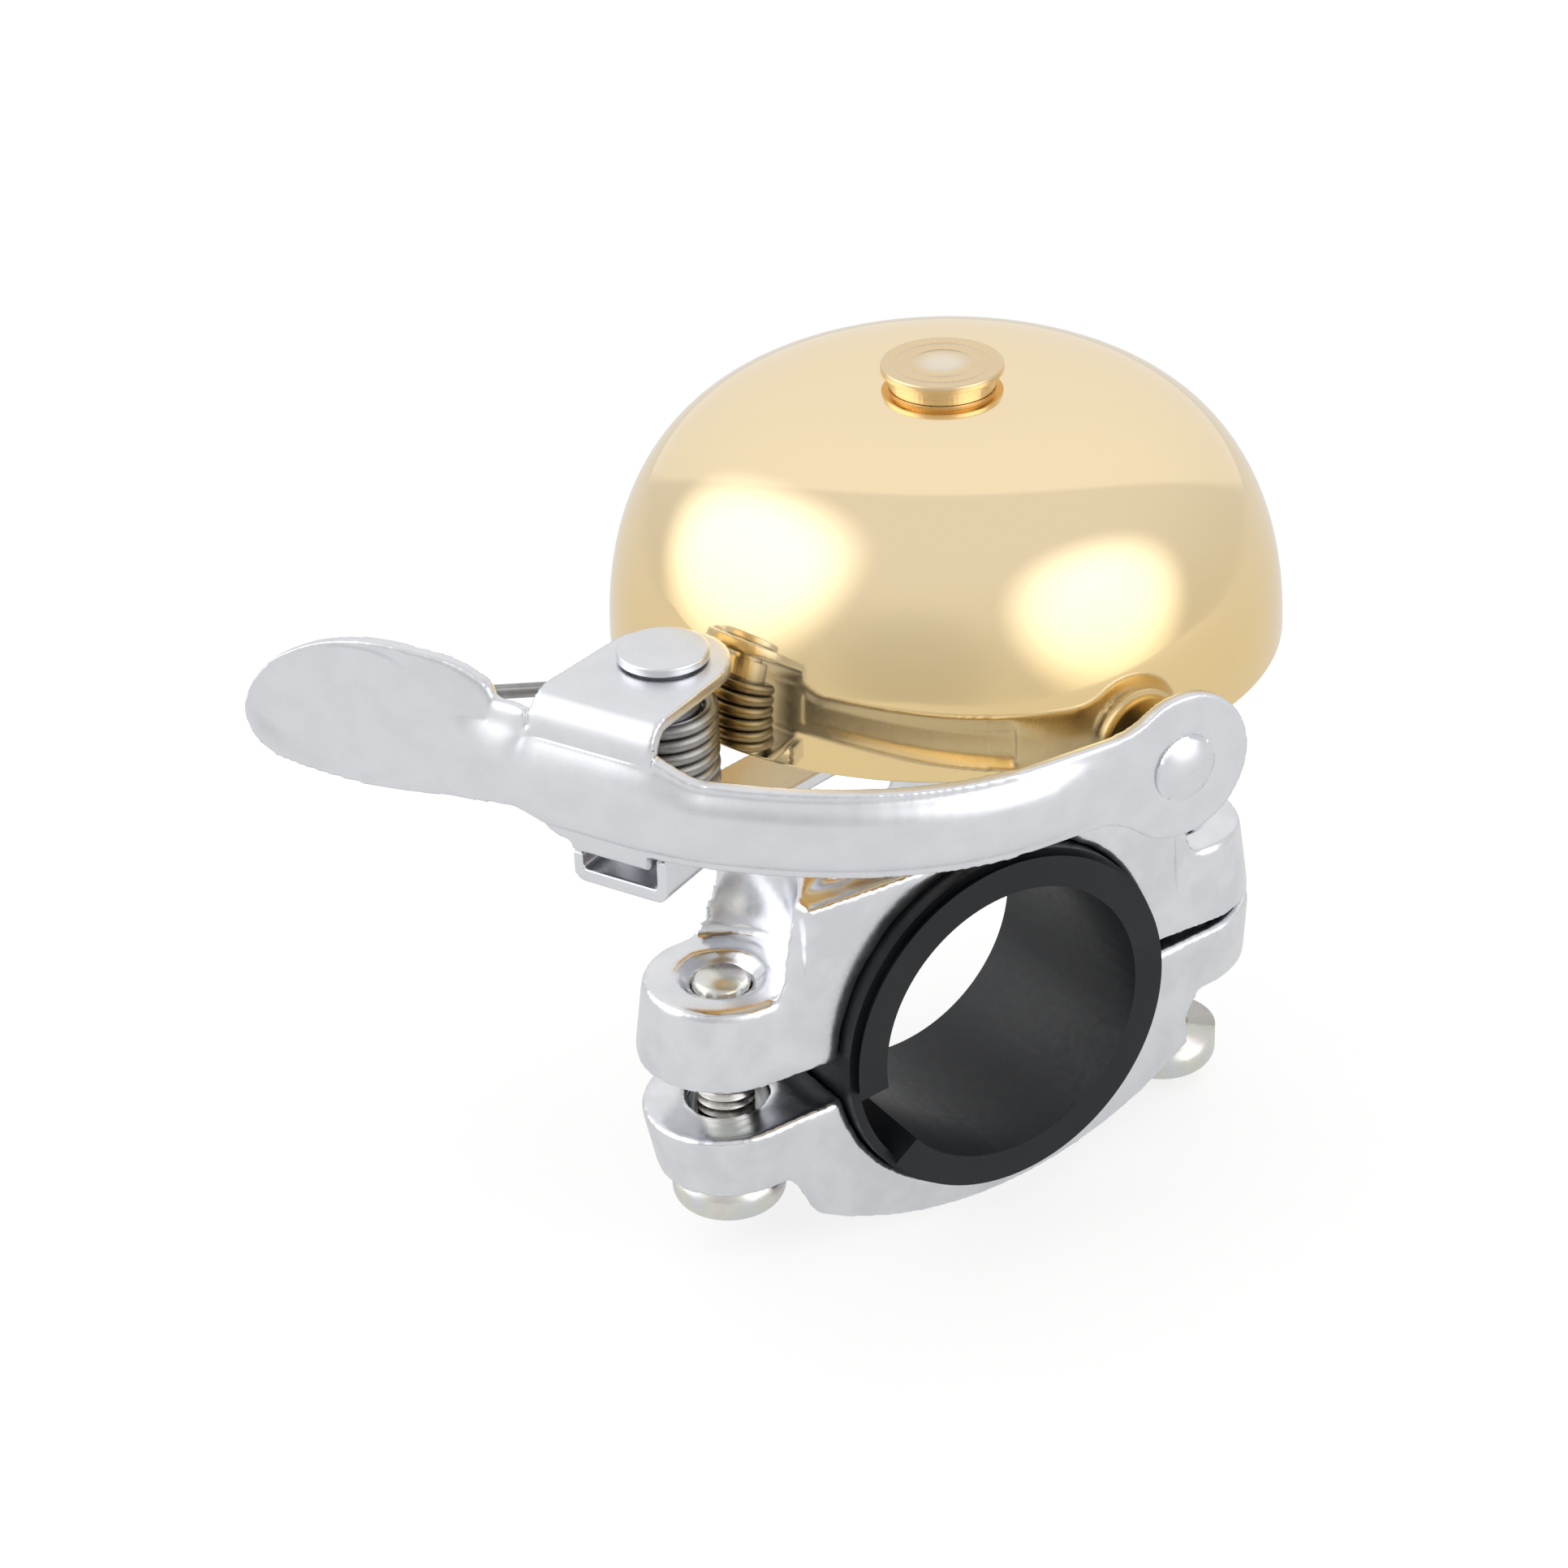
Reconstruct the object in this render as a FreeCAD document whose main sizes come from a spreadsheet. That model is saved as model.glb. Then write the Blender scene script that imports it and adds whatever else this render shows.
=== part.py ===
import FreeCAD, Part
import math
import os

import Sketcher

# Brass bicycle bell with a spring-loaded thumb lever on a two-piece handlebar clamp.
# Millimetres. The origin is the centre of the handlebar bore. +Z runs up the bell's
# axis, +X along the handlebar, and +Y completes the frame.

os.makedirs("parts", exist_ok=True)
doc = FreeCAD.newDocument("BicycleBell")
sheet = doc.addObject("Spreadsheet::Sheet", "Dims")

# alias, value, what it is
DIMENSIONS = [
    ("bar_radius", 12.7, "handlebar, 25.4 mm"),
    ("reducer_radius", 14.95, "outside of the C-shaped reducer"),
    ("reducer_length", 19.2, "reducer along the bar"),
    ("reducer_gap_start", 188, "where the reducer's gap starts, degrees from +Y"),
    ("reducer_gap_angle", 31, "opening of the C"),
    ("liner_inner", 15.0, "inside of the liner"),
    ("liner_outer", 15.85, "outside of the liner"),
    ("liner_length", 17.4, "liner along the bar"),
    ("liner_slit", 0.6, "slit of the liner"),
    ("bore_radius", 15.9, "bore of the bare clamp, 31.8 mm"),
    ("clamp_width", 14.9, "clamp along the bar"),
    ("lug_reach", 22.7, "screw axis from the bore axis"),
    ("lug_radius", 7.45, "round end of a lug"),
    ("lug_draft", 7, "draft of the cast lugs, degrees"),
    ("lug_height", 8.1, "lug face above the bore axis"),
    ("shoulder_foot", 21.5, "foot of the shoulder wall"),
    ("upper_split", 0.8, "split face of the upper half"),
    ("upper_shoulder", 18.7, "half length of the upper ring block"),
    ("upper_ledge", 16.4, "ledge on top of the ring block"),
    ("scoop_radius", 6.5, "spot face round each screw"),
    ("recess_radius", 3.5, "relief at the end of a tapped hole"),
    ("recess_depth", 0.7, "depth of that relief"),
    ("neck_width", 9.6, "neck along the bar"),
    ("neck_top", 27.9, "seat of the bracket"),
    ("neck_half", 7.6, "half length of the neck's top"),
    ("neck_foot", 17.8, "half length of the neck's foot"),
    ("neck_waist_y", 11.4, "waist of the neck"),
    ("neck_waist_z", 19.8, "height of that waist"),
    ("lower_split", 1.75, "split face of the lower half below the bore axis"),
    ("lower_shoulder", 19.4, "half length of the belly"),
    ("lower_corner", 12.3, "corner of the belly below the bore axis"),
    ("belly_depth", 18.2, "lowest point of the belly"),
    ("lower_tilt", 4.7, "tilt of the lower half, degrees"),
    ("screw_radius", 2.45, "M5 thread"),
    ("tapped_radius", 2.5, "tapped hole"),
    ("clearance_radius", 3.4, "hole of the lower half"),
    ("head_radius", 4.85, "pan head"),
    ("head_height", 3.6, "pan head"),
    ("head_round", 1.5, "rounding of the pan head"),
    ("screw_length", 18.4, "under the head"),
    ("left_seat", -10.55, "bearing face of the tight screw"),
    ("right_seat", -13.4, "bearing face of the slack screw"),
    ("cross_span", 5.0, "cross recess"),
    ("cross_slot", 1.0, "cross recess"),
    ("cross_depth", 1.9, "cross recess"),
    ("sheet_steel", 1.2, "bracket sheet"),
    ("bracket_eye", 6.8, "eye under the bell post"),
    ("bracket_width", 6.4, "strip of the bracket"),
    ("bracket_turn", 14.6, "strip's direction from -Y, degrees"),
    ("post_hole", 3.05, "hole of the bracket's eye"),
    ("channel_left", 3.2, "left side of the channel from the pivot"),
    ("channel_right", 5.3, "right side of the channel from the pivot"),
    ("channel_front", 8.9, "end of the channel before the pivot"),
    ("channel_back", 5.4, "back of the channel behind the pivot"),
    ("channel_wall", 0.9, "walls of the channel"),
    ("channel_wall_length", 4.8, "walls from the channel's end"),
    ("channel_low", 30.5, "top of the left wall"),
    ("stop_top", 31.7, "top of the stop on the right wall"),
    ("stop_length", 4.2, "length of the stop"),
    ("post_thread", 3.0, "thread of the post in the neck"),
    ("post_thread_length", 7.6, "how deep it goes"),
    ("post_hex", 9.0, "across flats of the post's foot"),
    ("post_hex_height", 4.5, "height of the foot"),
    ("post_shaft", 3.7, "shaft radius"),
    ("post_collar", 4.9, "collar under the dome"),
    ("post_collar_height", 1.6, "height of that collar"),
    ("lock_washer_radius", 5.0, "spring washer"),
    ("lock_washer_height", 0.9, "spring washer"),
    ("bell_radius", 27.5, "outside of the dome, 55 mm"),
    ("bell_rim", 34.4, "rim plane"),
    ("bell_height", 21.4, "height of the dome"),
    ("bell_wall", 1.2, "wall of the dome"),
    ("bell_flat", 5.3, "flat on top of the dome"),
    ("bell_hole", 2.6, "hole of the dome"),
    ("seat_washer", 0.6, "washer under the dome"),
    ("cap_washer_height", 0.45, "washer over the dome"),
    ("cap_washer_radius", 4.3, "washer over the dome"),
    ("cap_radius", 5.1, "cap screw"),
    ("cap_height", 1.15, "cap screw"),
    ("cap_chamfer", 0.4, "edge of the cap"),
    ("cap_thread", 2.0, "thread of the cap screw"),
    ("cap_thread_length", 9.0, "below the cap"),
    ("pivot_x", 8.15, "pivot axis"),
    ("pivot_y", -31.3, "pivot axis"),
    ("lever_turn", 26.35, "straight part of the lever from +X, degrees"),
    ("lever_sheet", 1.1, "lever sheet"),
    ("ear_front", 10.0, "front of the ears before the pivot"),
    ("ear_radius", 5.2, "upper ear"),
    ("ear_left", 5.9, "left side of the upper ear's bend"),
    ("ear_top", 43.25, "top of the upper ear"),
    ("ear_bend", 2.6, "outer bend of the upper ear"),
    ("low_ear_radius", 4.2, "lower ear"),
    ("low_ear_left", 2.6, "left side of the lower ear's bend"),
    ("low_ear_base", 30.85, "underside of the lower ear"),
    ("low_ear_bend", 1.2, "outer bend of the lower ear"),
    ("ear_hole", 2.06, "holes of the ears"),
    ("arm_low", 32.4, "underside of the arm"),
    ("arm_high", 39.6, "top of the arm"),
    ("arm_margin", 0.65, "flat margins above and below the arm's rib"),
    ("rib_proud", 0.6, "how far the rib is pressed out"),
    ("rib_end", 0.06, "what is left of the rib where it ends"),
    ("rib_side", 1.5, "height of the rib's rounded sides"),
    ("rib_start", -6.6, "where the rib starts, flush with the neck"),
    ("rib_step", 0.6, "step from the neck back to the ears"),
    ("arc_start", 1.7, "where the arm starts to curve"),
    ("arc_radius", 31.2, "outside of the curved arm's margins"),
    ("arc_angle", 63.65, "turn of the curved arm, degrees"),
    ("runout", 5.4, "straight end of the rib"),
    ("eyelet_reach", 12.5, "eyelet centre from the end of the curve"),
    ("eyelet_height", 35.3, "eyelet centre"),
    ("eyelet_radius", 6.1, "eyelet"),
    ("eyelet_blend", 6.0, "hollow corner between arm and eyelet"),
    ("pad_turn", 14, "turn of the thumb pad, degrees"),
    ("pad_bend", 18, "front radius of that bend"),
    ("pad_start", -9.3, "where the bend starts"),
    ("pad_tip", -29.3, "tip of the thumb pad"),
    ("pad_middle", -17.5, "highest place of the pad"),
    ("pad_top", 47.1, "top of the pad"),
    ("pad_bottom", 33.45, "bottom of the pad"),
    ("pad_tip_height", 39.4, "height of the tip"),
    ("neck_high", 42.4, "upper edge of the pad's neck"),
    ("neck_notch", 40.9, "notch between the neck and the upper ear"),
    ("neck_low", 34.0, "underside of the pad's neck"),
    ("hammer_radius", 4.6, "striker"),
    ("hammer_height", 2.0, "striker"),
    ("hammer_hole", 1.5, "rivet shank"),
    ("hammer_rivet_head", 2.75, "front head of the rivet"),
    ("hammer_rivet_height", 1.0, "front head of the rivet"),
    ("pin_radius", 2.0, "pivot rivet"),
    ("pin_head_radius", 3.6, "top head"),
    ("pin_head_height", 0.75, "top head"),
    ("pin_tail_radius", 3.0, "clenched tail"),
    ("pin_tail_height", 0.8, "clenched tail"),
    ("play", 0.05, "running clearance"),
    ("washer_height", 0.15, "thin washer under the top head"),
    ("washer_radius", 2.8, "thin washer under the top head"),
    ("sleeve_radius", 2.75, "sleeve inside the coil"),
    ("spacer_radius", 3.5, "spacer below the lower ear"),
    ("wire_radius", 0.58, "spring wire"),
    ("coil_radius", 3.52, "mean radius of the coil"),
    ("coil_start", 32.75, "first turn"),
    ("coil_height", 7.1, "from the first turn to the last"),
    ("coil_turns", 6, "turns, less the angle between the legs"),
    ("spring_long_leg", 24.5, "leg behind the thumb pad"),
    ("spring_long_turn", 241.9, "direction of that leg from +X, degrees"),
    ("spring_short_leg", 7.6, "leg beside the strip"),
    ("spring_short_turn", 107, "direction of that leg from +X, degrees"),
    ("spring_hook", 4.6, "hook over the strip's edge"),
]

for row, (alias, value, note) in enumerate(DIMENSIONS, start=1):
    sheet.set(f"A{row}", alias)
    sheet.set(f"B{row}", str(value))
    sheet.set(f"C{row}", note)
    sheet.setAlias(f"B{row}", alias)
doc.recompute()


class Size:
    # A number together with the sheet formula that gives it.
    def __init__(self, number, text):
        self.number = number
        self.text = text

    def __add__(self, other):
        other = size(other)
        return Size(self.number + other.number, f"({self.text} + {other.text})")

    def __sub__(self, other):
        other = size(other)
        return Size(self.number - other.number, f"({self.text} - {other.text})")

    def __mul__(self, other):
        other = size(other)
        return Size(self.number * other.number, f"({self.text} * {other.text})")

    def __truediv__(self, other):
        other = size(other)
        return Size(self.number / other.number, f"({self.text} / {other.text})")

    def __neg__(self):
        return Size(-self.number, f"(0 - {self.text})")

    def __radd__(self, other):
        return size(other) + self

    def __rsub__(self, other):
        return size(other) - self

    def __rmul__(self, other):
        return size(other) * self


def size(value):
    return value if isinstance(value, Size) else Size(float(value), repr(float(value)))


class Cells:
    # Every dimension of the sheet, by its alias.
    pass


d = Cells()
for alias, value, note in DIMENSIONS:
    setattr(d, alias, Size(float(value), f"Dims.{alias}"))


def bind(feature, name, value):
    # Gives a property its number and ties it to the sheet.
    value = size(value)
    if "." not in name:
        setattr(feature, name, value.number)
    feature.setExpression(name, value.text)


def part_body(label, place=None):
    body = doc.addObject("PartDesign::Body", label)
    body.Label = label
    if place is not None:
        body.Placement = place
    return body


def plane_of(body, role):
    return next(item for item in body.Origin.OriginFeatures if item.Role == role)


def sketch_on(body, name, role, lift=0.0, offset=None):
    # A sketch on one of the body's own planes. lift moves it along the plane's normal.
    sketch = body.newObject("Sketcher::SketchObject", name)
    sketch.AttachmentSupport = [(plane_of(body, role), "")]
    sketch.MapMode = "FlatFace"
    if offset is not None:
        sketch.AttachmentOffset = offset
    else:
        lift = size(lift)
        sketch.AttachmentOffset = FreeCAD.Placement(
            FreeCAD.Vector(0, 0, lift.number), FreeCAD.Rotation())
        sketch.setExpression("AttachmentOffset.Base.z", lift.text)
    return sketch


def pin_point(sketch, edge, end, across, along):
    # Fixes one point of a sketch by two bound distances from the origin.
    for kind, value in (("DistanceX", size(across)), ("DistanceY", size(along))):
        index = sketch.addConstraint(
            Sketcher.Constraint(kind, -1, 1, edge, end, value.number))
        sketch.setExpression(f"Constraints[{index}]", value.text)


def draw_circle(sketch, across, along, radius):
    across, along, radius = size(across), size(along), size(radius)
    circle = Part.Circle(
        FreeCAD.Vector(across.number, along.number, 0), FreeCAD.Vector(0, 0, 1), radius.number)
    edge = sketch.addGeometry(circle, False)
    pin_point(sketch, edge, 3, across, along)
    index = sketch.addConstraint(Sketcher.Constraint("Radius", edge, radius.number))
    sketch.setExpression(f"Constraints[{index}]", radius.text)


def flat(point):
    return FreeCAD.Vector(size(point[0]).number, size(point[1]).number, 0)


def draw_outline(sketch, points):
    # points: (across, along) corners. A third entry is a point on the arc to the next corner.
    edges = []
    for number, point in enumerate(points):
        start, end = flat(point), flat(points[(number + 1) % len(points)])
        if len(point) == 3:
            middle = flat(point[2])
            turned = (middle - start).cross(end - middle).z < 0
            first, last = (end, start) if turned else (start, end)
            edge = sketch.addGeometry(Part.Arc(first, middle, last), False)
            edges.append((edge, 2 if turned else 1, 1 if turned else 2))
            centre, chord = sketch.Geometry[edge].Center, end - start
            if abs(chord.x) >= abs(chord.y):
                sketch.addConstraint(Sketcher.Constraint("DistanceY", -1, 1, edge, 3, centre.y))
            else:
                sketch.addConstraint(Sketcher.Constraint("DistanceX", -1, 1, edge, 3, centre.x))
        else:
            edge = sketch.addGeometry(Part.LineSegment(start, end), False)
            edges.append((edge, 1, 2))
    for number, (edge, first, last) in enumerate(edges):
        following = edges[(number + 1) % len(edges)]
        sketch.addConstraint(
            Sketcher.Constraint("Coincident", edge, last, following[0], following[1]))
        pin_point(sketch, edge, first, points[number][0], points[number][1])
    if sketch.solve() != 0:
        raise RuntimeError(f"{sketch.Name} can't be solved")


def pad(body, name, sketch, length, midplane=False, reverse=False, taper=None):
    feature = body.newObject("PartDesign::Pad", name)
    feature.Profile = sketch
    bind(feature, "Length", length)
    feature.Midplane = midplane
    feature.Reversed = reverse
    if taper is not None:
        bind(feature, "TaperAngle", taper)
    doc.recompute()
    if feature.Shape.isNull():
        raise RuntimeError(f"{name} of {body.Label} is empty")
    return feature


def pocket(body, name, sketch, depth=None, midplane=False, reverse=False):
    # Without a depth it goes right through. A pocket that removes nothing is an error.
    before = body.Shape.Volume
    feature = body.newObject("PartDesign::Pocket", name)
    feature.Profile = sketch
    feature.Midplane = midplane
    feature.Reversed = reverse
    if depth is None:
        feature.Type = 1
    else:
        bind(feature, "Length", depth)
    doc.recompute()
    if feature.Shape.isNull() or not body.Shape.Volume < before - 1e-6:
        raise RuntimeError(f"{name} of {body.Label} cuts nothing")
    return feature


def revolve(body, name, sketch, axis="V_Axis", angle=360):
    feature = body.newObject("PartDesign::Revolution", name)
    feature.Profile = sketch
    feature.ReferenceAxis = (sketch, [axis])
    bind(feature, "Angle", angle)
    doc.recompute()
    return feature


def edges_near(shape, test):
    # Names of the edges whose middle passes the test.
    names = []
    for number, edge in enumerate(shape.Edges, start=1):
        middle = edge.valueAt((edge.FirstParameter + edge.LastParameter) / 2)
        if test(middle, edge):
            names.append(f"Edge{number}")
    return names


def fillet(body, name, radius, test):
    base = body.Tip
    names = edges_near(base.Shape, test)
    feature = body.newObject("PartDesign::Fillet", name)
    feature.Base = (base, names)
    bind(feature, "Radius", radius)
    doc.recompute()
    if not names or feature.State and "Invalid" in feature.State:
        raise RuntimeError(f"{name} of {body.Label} failed on {names}")
    return feature


def ring(label, inner, outer, base, height):
    # A washer, sleeve or spacer about the body's own Z axis.
    body = part_body(label)
    sketch = sketch_on(body, f"{label}_ring", "XY_Plane", base)
    draw_circle(sketch, 0, 0, outer)
    draw_circle(sketch, 0, 0, inner)
    pad(body, f"{label}_height", sketch, height)
    return body


def turned(label, outline, place=None):
    # A solid of revolution about the body's own Z axis. outline: (radius, height) corners.
    body = part_body(label, place)
    sketch = sketch_on(body, f"{label}_profile", "XZ_Plane")
    draw_outline(sketch, outline)
    revolve(body, f"{label}_turn", sketch)
    return body


parts = {}
pivot = FreeCAD.Placement(
    FreeCAD.Vector(d.pivot_x.number, d.pivot_y.number, 0), FreeCAD.Rotation())
SIDES = (("left", -1), ("right", 1))


def put_on_pivot(body):
    body.Placement = pivot
    body.setExpression("Placement.Base.x", d.pivot_x.text)
    body.setExpression("Placement.Base.y", d.pivot_y.text)


# ---- handlebar clamp ----

def stadium(sketch):
    half, reach = d.lug_radius, d.lug_reach
    draw_outline(sketch, [
        (half, -reach), (half, reach, (0, reach + half)),
        (-half, reach), (-half, -reach, (0, -reach - half))])


def make_clamp_upper():
    body = part_body("clamp_upper")
    plan = sketch_on(body, "upper_plan", "XY_Plane", d.upper_split)
    stadium(plan)
    pad(body, "upper_lugs", plan, d.upper_ledge - d.upper_split, taper=-d.lug_draft)
    trim = sketch_on(body, "upper_trim", "YZ_Plane")
    far, over = d.lug_reach * 2, d.neck_top
    for side in (-1, 1):
        draw_outline(trim, [
            (side * far, d.lug_height), (side * d.shoulder_foot, d.lug_height),
            (side * d.upper_shoulder, d.upper_ledge), (side * d.upper_shoulder, over),
            (side * far, over)])
    pocket(body, "upper_shoulders", trim, midplane=True)
    block = sketch_on(body, "upper_block", "YZ_Plane")
    draw_outline(block, [
        (-d.upper_shoulder, d.upper_split), (-d.upper_shoulder, d.upper_ledge),
        (d.upper_shoulder, d.upper_ledge), (d.upper_shoulder, d.upper_split)])
    pad(body, "upper_ring", block, d.clamp_width, midplane=True)
    neck = sketch_on(body, "upper_neck", "YZ_Plane")
    draw_outline(neck, [
        (-d.neck_foot, d.upper_ledge - 2), (-d.neck_foot, d.upper_ledge,
                                           (-d.neck_waist_y, d.neck_waist_z)),
        (-d.neck_half, d.neck_top), (d.neck_half, d.neck_top,
                                     (d.neck_waist_y, d.neck_waist_z)),
        (d.neck_foot, d.upper_ledge), (d.neck_foot, d.upper_ledge - 2)])
    pad(body, "upper_neck_pad", neck, d.neck_width, midplane=True)
    bore = sketch_on(body, "upper_bore", "YZ_Plane")
    draw_circle(bore, 0, 0, d.bore_radius)
    pocket(body, "upper_bore_cut", bore, midplane=True)
    scoops = sketch_on(body, "upper_scoops", "XY_Plane", d.lug_height)
    recesses = sketch_on(body, "upper_recesses", "XY_Plane", d.lug_height)
    holes = sketch_on(body, "upper_holes", "XY_Plane", d.lug_height)
    for side in (-1, 1):
        draw_circle(scoops, 0, side * d.lug_reach, d.scoop_radius)
        draw_circle(recesses, 0, side * d.lug_reach, d.recess_radius)
        draw_circle(holes, 0, side * d.lug_reach, d.tapped_radius)
    pocket(body, "upper_scoop_cut", scoops, d.lug_height * 2, reverse=True)
    pocket(body, "upper_recess_cut", recesses, d.recess_depth)
    pocket(body, "upper_tapped_holes", holes)
    stud = sketch_on(body, "upper_stud_hole", "XY_Plane", d.neck_top)
    draw_circle(stud, 0, 0, d.post_thread)
    pocket(body, "upper_stud_cut", stud, d.post_thread_length + 0.6)
    return body


def make_clamp_lower():
    body = part_body("clamp_lower")
    plan = sketch_on(body, "lower_plan", "XY_Plane", -d.lower_split)
    stadium(plan)
    pad(body, "lower_lugs", plan, d.lower_corner - d.lower_split, reverse=True,
        taper=-d.lug_draft)
    trim = sketch_on(body, "lower_trim", "YZ_Plane")
    far, under = d.lug_reach * 2, -d.belly_depth * 2
    for side in (-1, 1):
        draw_outline(trim, [
            (side * far, -d.lug_height), (side * d.shoulder_foot, -d.lug_height),
            (side * d.lower_shoulder, -d.lower_corner), (side * d.lower_shoulder, under),
            (side * far, under)])
    pocket(body, "lower_shoulders", trim, midplane=True)
    belly = sketch_on(body, "lower_belly", "YZ_Plane")
    draw_outline(belly, [
        (-d.lower_shoulder, -d.lower_split),
        (-d.lower_shoulder, -d.lower_corner, (0, -d.belly_depth)),
        (d.lower_shoulder, -d.lower_corner), (d.lower_shoulder, -d.lower_split)])
    pad(body, "lower_ring", belly, d.clamp_width, midplane=True)
    bore = sketch_on(body, "lower_bore", "YZ_Plane")
    draw_circle(bore, 0, 0, d.bore_radius)
    pocket(body, "lower_bore_cut", bore, midplane=True)
    scoops = sketch_on(body, "lower_scoops", "XY_Plane", -d.lug_height)
    holes = sketch_on(body, "lower_holes", "XY_Plane")
    for side in (-1, 1):
        draw_circle(scoops, 0, side * d.lug_reach, d.scoop_radius)
        draw_circle(holes, 0, side * d.lug_reach, d.clearance_radius)
    pocket(body, "lower_scoop_cut", scoops, d.belly_depth)
    pocket(body, "lower_clearance_holes", holes)
    body.Placement = FreeCAD.Placement(
        FreeCAD.Vector(), FreeCAD.Rotation(FreeCAD.Vector(1, 0, 0), d.lower_tilt.number))
    body.setExpression("Placement.Rotation.Angle", d.lower_tilt.text)
    return body


def make_liner():
    body = part_body("bar_liner")
    section = sketch_on(body, "liner_section", "YZ_Plane")
    draw_circle(section, 0, 0, d.liner_outer)
    draw_circle(section, 0, 0, d.liner_inner)
    pad(body, "liner_length_pad", section, d.liner_length, midplane=True)
    slit = sketch_on(body, "liner_slit_sketch", "YZ_Plane")
    draw_outline(slit, [
        (-d.liner_slit / 2, -d.bore_radius), (d.liner_slit / 2, -d.bore_radius),
        (d.liner_slit / 2, -d.bar_radius), (-d.liner_slit / 2, -d.bar_radius)])
    pocket(body, "liner_slit_cut", slit, midplane=True)
    return body


def make_reducer():
    # The C is drawn from its own gap edge and turned to its place.
    body = part_body("bar_reducer")
    section = sketch_on(body, "reducer_section", "XZ_Plane")
    draw_outline(section, [
        (-d.reducer_length / 2, d.bar_radius), (d.reducer_length / 2, d.bar_radius),
        (d.reducer_length / 2, d.reducer_radius), (-d.reducer_length / 2, d.reducer_radius)])
    revolve(body, "reducer_turn", section, "H_Axis", 360 - d.reducer_gap_angle)
    turn = d.reducer_gap_start.number + d.reducer_gap_angle.number - 90
    body.Placement = FreeCAD.Placement(
        FreeCAD.Vector(), FreeCAD.Rotation(FreeCAD.Vector(1, 0, 0), turn))
    return body


def make_screw(side_name, side, seat):
    label = f"clamp_screw_{side_name}"
    low, high = seat - d.head_height, seat + d.screw_length
    body = turned(label, [
        (0, low), (d.head_radius - d.head_round, low,
                   (d.head_radius - d.head_round * 0.293, low + d.head_round * 0.293)),
        (d.head_radius, low + d.head_round), (d.head_radius, seat), (d.screw_radius, seat),
        (d.screw_radius, high - 0.4), (d.screw_radius - 0.4, high), (0, high)])
    cross = sketch_on(body, f"{label}_cross", "XY_Plane", low)
    arm, slot = d.cross_span / 2, d.cross_slot / 2
    draw_outline(cross, [
        (-slot, -arm), (slot, -arm), (slot, -slot), (arm, -slot), (arm, slot), (slot, slot),
        (slot, arm), (-slot, arm), (-slot, slot), (-arm, slot), (-arm, -slot), (-slot, -slot)])
    pocket(body, f"{label}_cross_cut", cross, d.cross_depth, reverse=True)
    body.Placement = FreeCAD.Placement(
        FreeCAD.Vector(0, side * d.lug_reach.number, 0), FreeCAD.Rotation())
    body.setExpression("Placement.Base.y", (side * d.lug_reach).text)
    return body


# ---- bracket, post and dome ----

def turned_about_z(body, angle, x=0.0, y=0.0):
    body.Placement = FreeCAD.Placement(
        FreeCAD.Vector(x, y, 0), FreeCAD.Rotation(FreeCAD.Vector(0, 0, 1), angle))


def make_bracket():
    base = d.neck_top
    reach = math.hypot(d.pivot_x.number, d.pivot_y.number)
    strip = part_body("bracket_strip")
    eye = sketch_on(strip, "bracket_eye_sketch", "XY_Plane", base)
    draw_circle(eye, 0, 0, d.bracket_eye)
    pad(strip, "bracket_eye_pad", eye, d.sheet_steel)
    run = sketch_on(strip, "bracket_run", "XY_Plane", base)
    draw_outline(run, [
        (-d.bracket_width / 2, -reach), (d.bracket_width / 2, -reach),
        (d.bracket_width / 2, 0), (-d.bracket_width / 2, 0)])
    pad(strip, "bracket_run_pad", run, d.sheet_steel)
    hole = sketch_on(strip, "bracket_post_hole", "XY_Plane", base)
    draw_circle(hole, 0, 0, d.post_hole)
    pocket(strip, "bracket_post_cut", hole, midplane=True)
    turned_about_z(strip, d.bracket_turn.number)

    channel = part_body("bracket_channel")
    left, right, wall = -d.channel_left, d.channel_right, d.channel_wall
    floor = sketch_on(channel, "channel_floor", "XY_Plane", base)
    draw_outline(floor, [
        (left, -d.channel_front), (right, -d.channel_front),
        (right, d.channel_back), (left, d.channel_back)])
    pad(channel, "channel_floor_pad", floor, d.sheet_steel)
    walls = sketch_on(channel, "channel_walls", "XY_Plane", base)
    for outer, inner in ((left, left + wall), (right - wall, right)):
        draw_outline(walls, [
            (outer, -d.channel_front), (inner, -d.channel_front),
            (inner, d.channel_wall_length - d.channel_front),
            (outer, d.channel_wall_length - d.channel_front)])
    pad(channel, "channel_walls_pad", walls, d.channel_low - base)
    stop = sketch_on(channel, "channel_stop", "XY_Plane", base)
    draw_outline(stop, [
        (right - wall, -d.channel_front), (right, -d.channel_front),
        (right, d.stop_length - d.channel_front),
        (right - wall, d.stop_length - d.channel_front)])
    pad(channel, "channel_stop_pad", stop, d.stop_top - base)
    fillet(channel, "channel_corners", d.sheet_steel * 0.9, lambda at, edge: (
        abs(at.z - base.number) < 0.01 and at.y < -0.5
        and abs(abs(at.x - (left.number + right.number) / 2)
                - (right.number - left.number) / 2) < 0.01))
    turned_about_z(channel, d.lever_turn.number, d.pivot_x.number, d.pivot_y.number)

    joined = doc.addObject("Part::MultiFuse", "bracket_joined")
    joined.Shapes = [strip, channel]
    drill = doc.addObject("Part::Cylinder", "bracket_pin_hole")
    bind(drill, "Radius", d.pin_radius)
    bind(drill, "Height", d.neck_top * 2)
    drill.Placement = pivot
    bracket = doc.addObject("Part::Cut", "base_bracket")
    bracket.Label = "base_bracket"
    bracket.Base = joined
    bracket.Tool = drill
    return bracket


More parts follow.
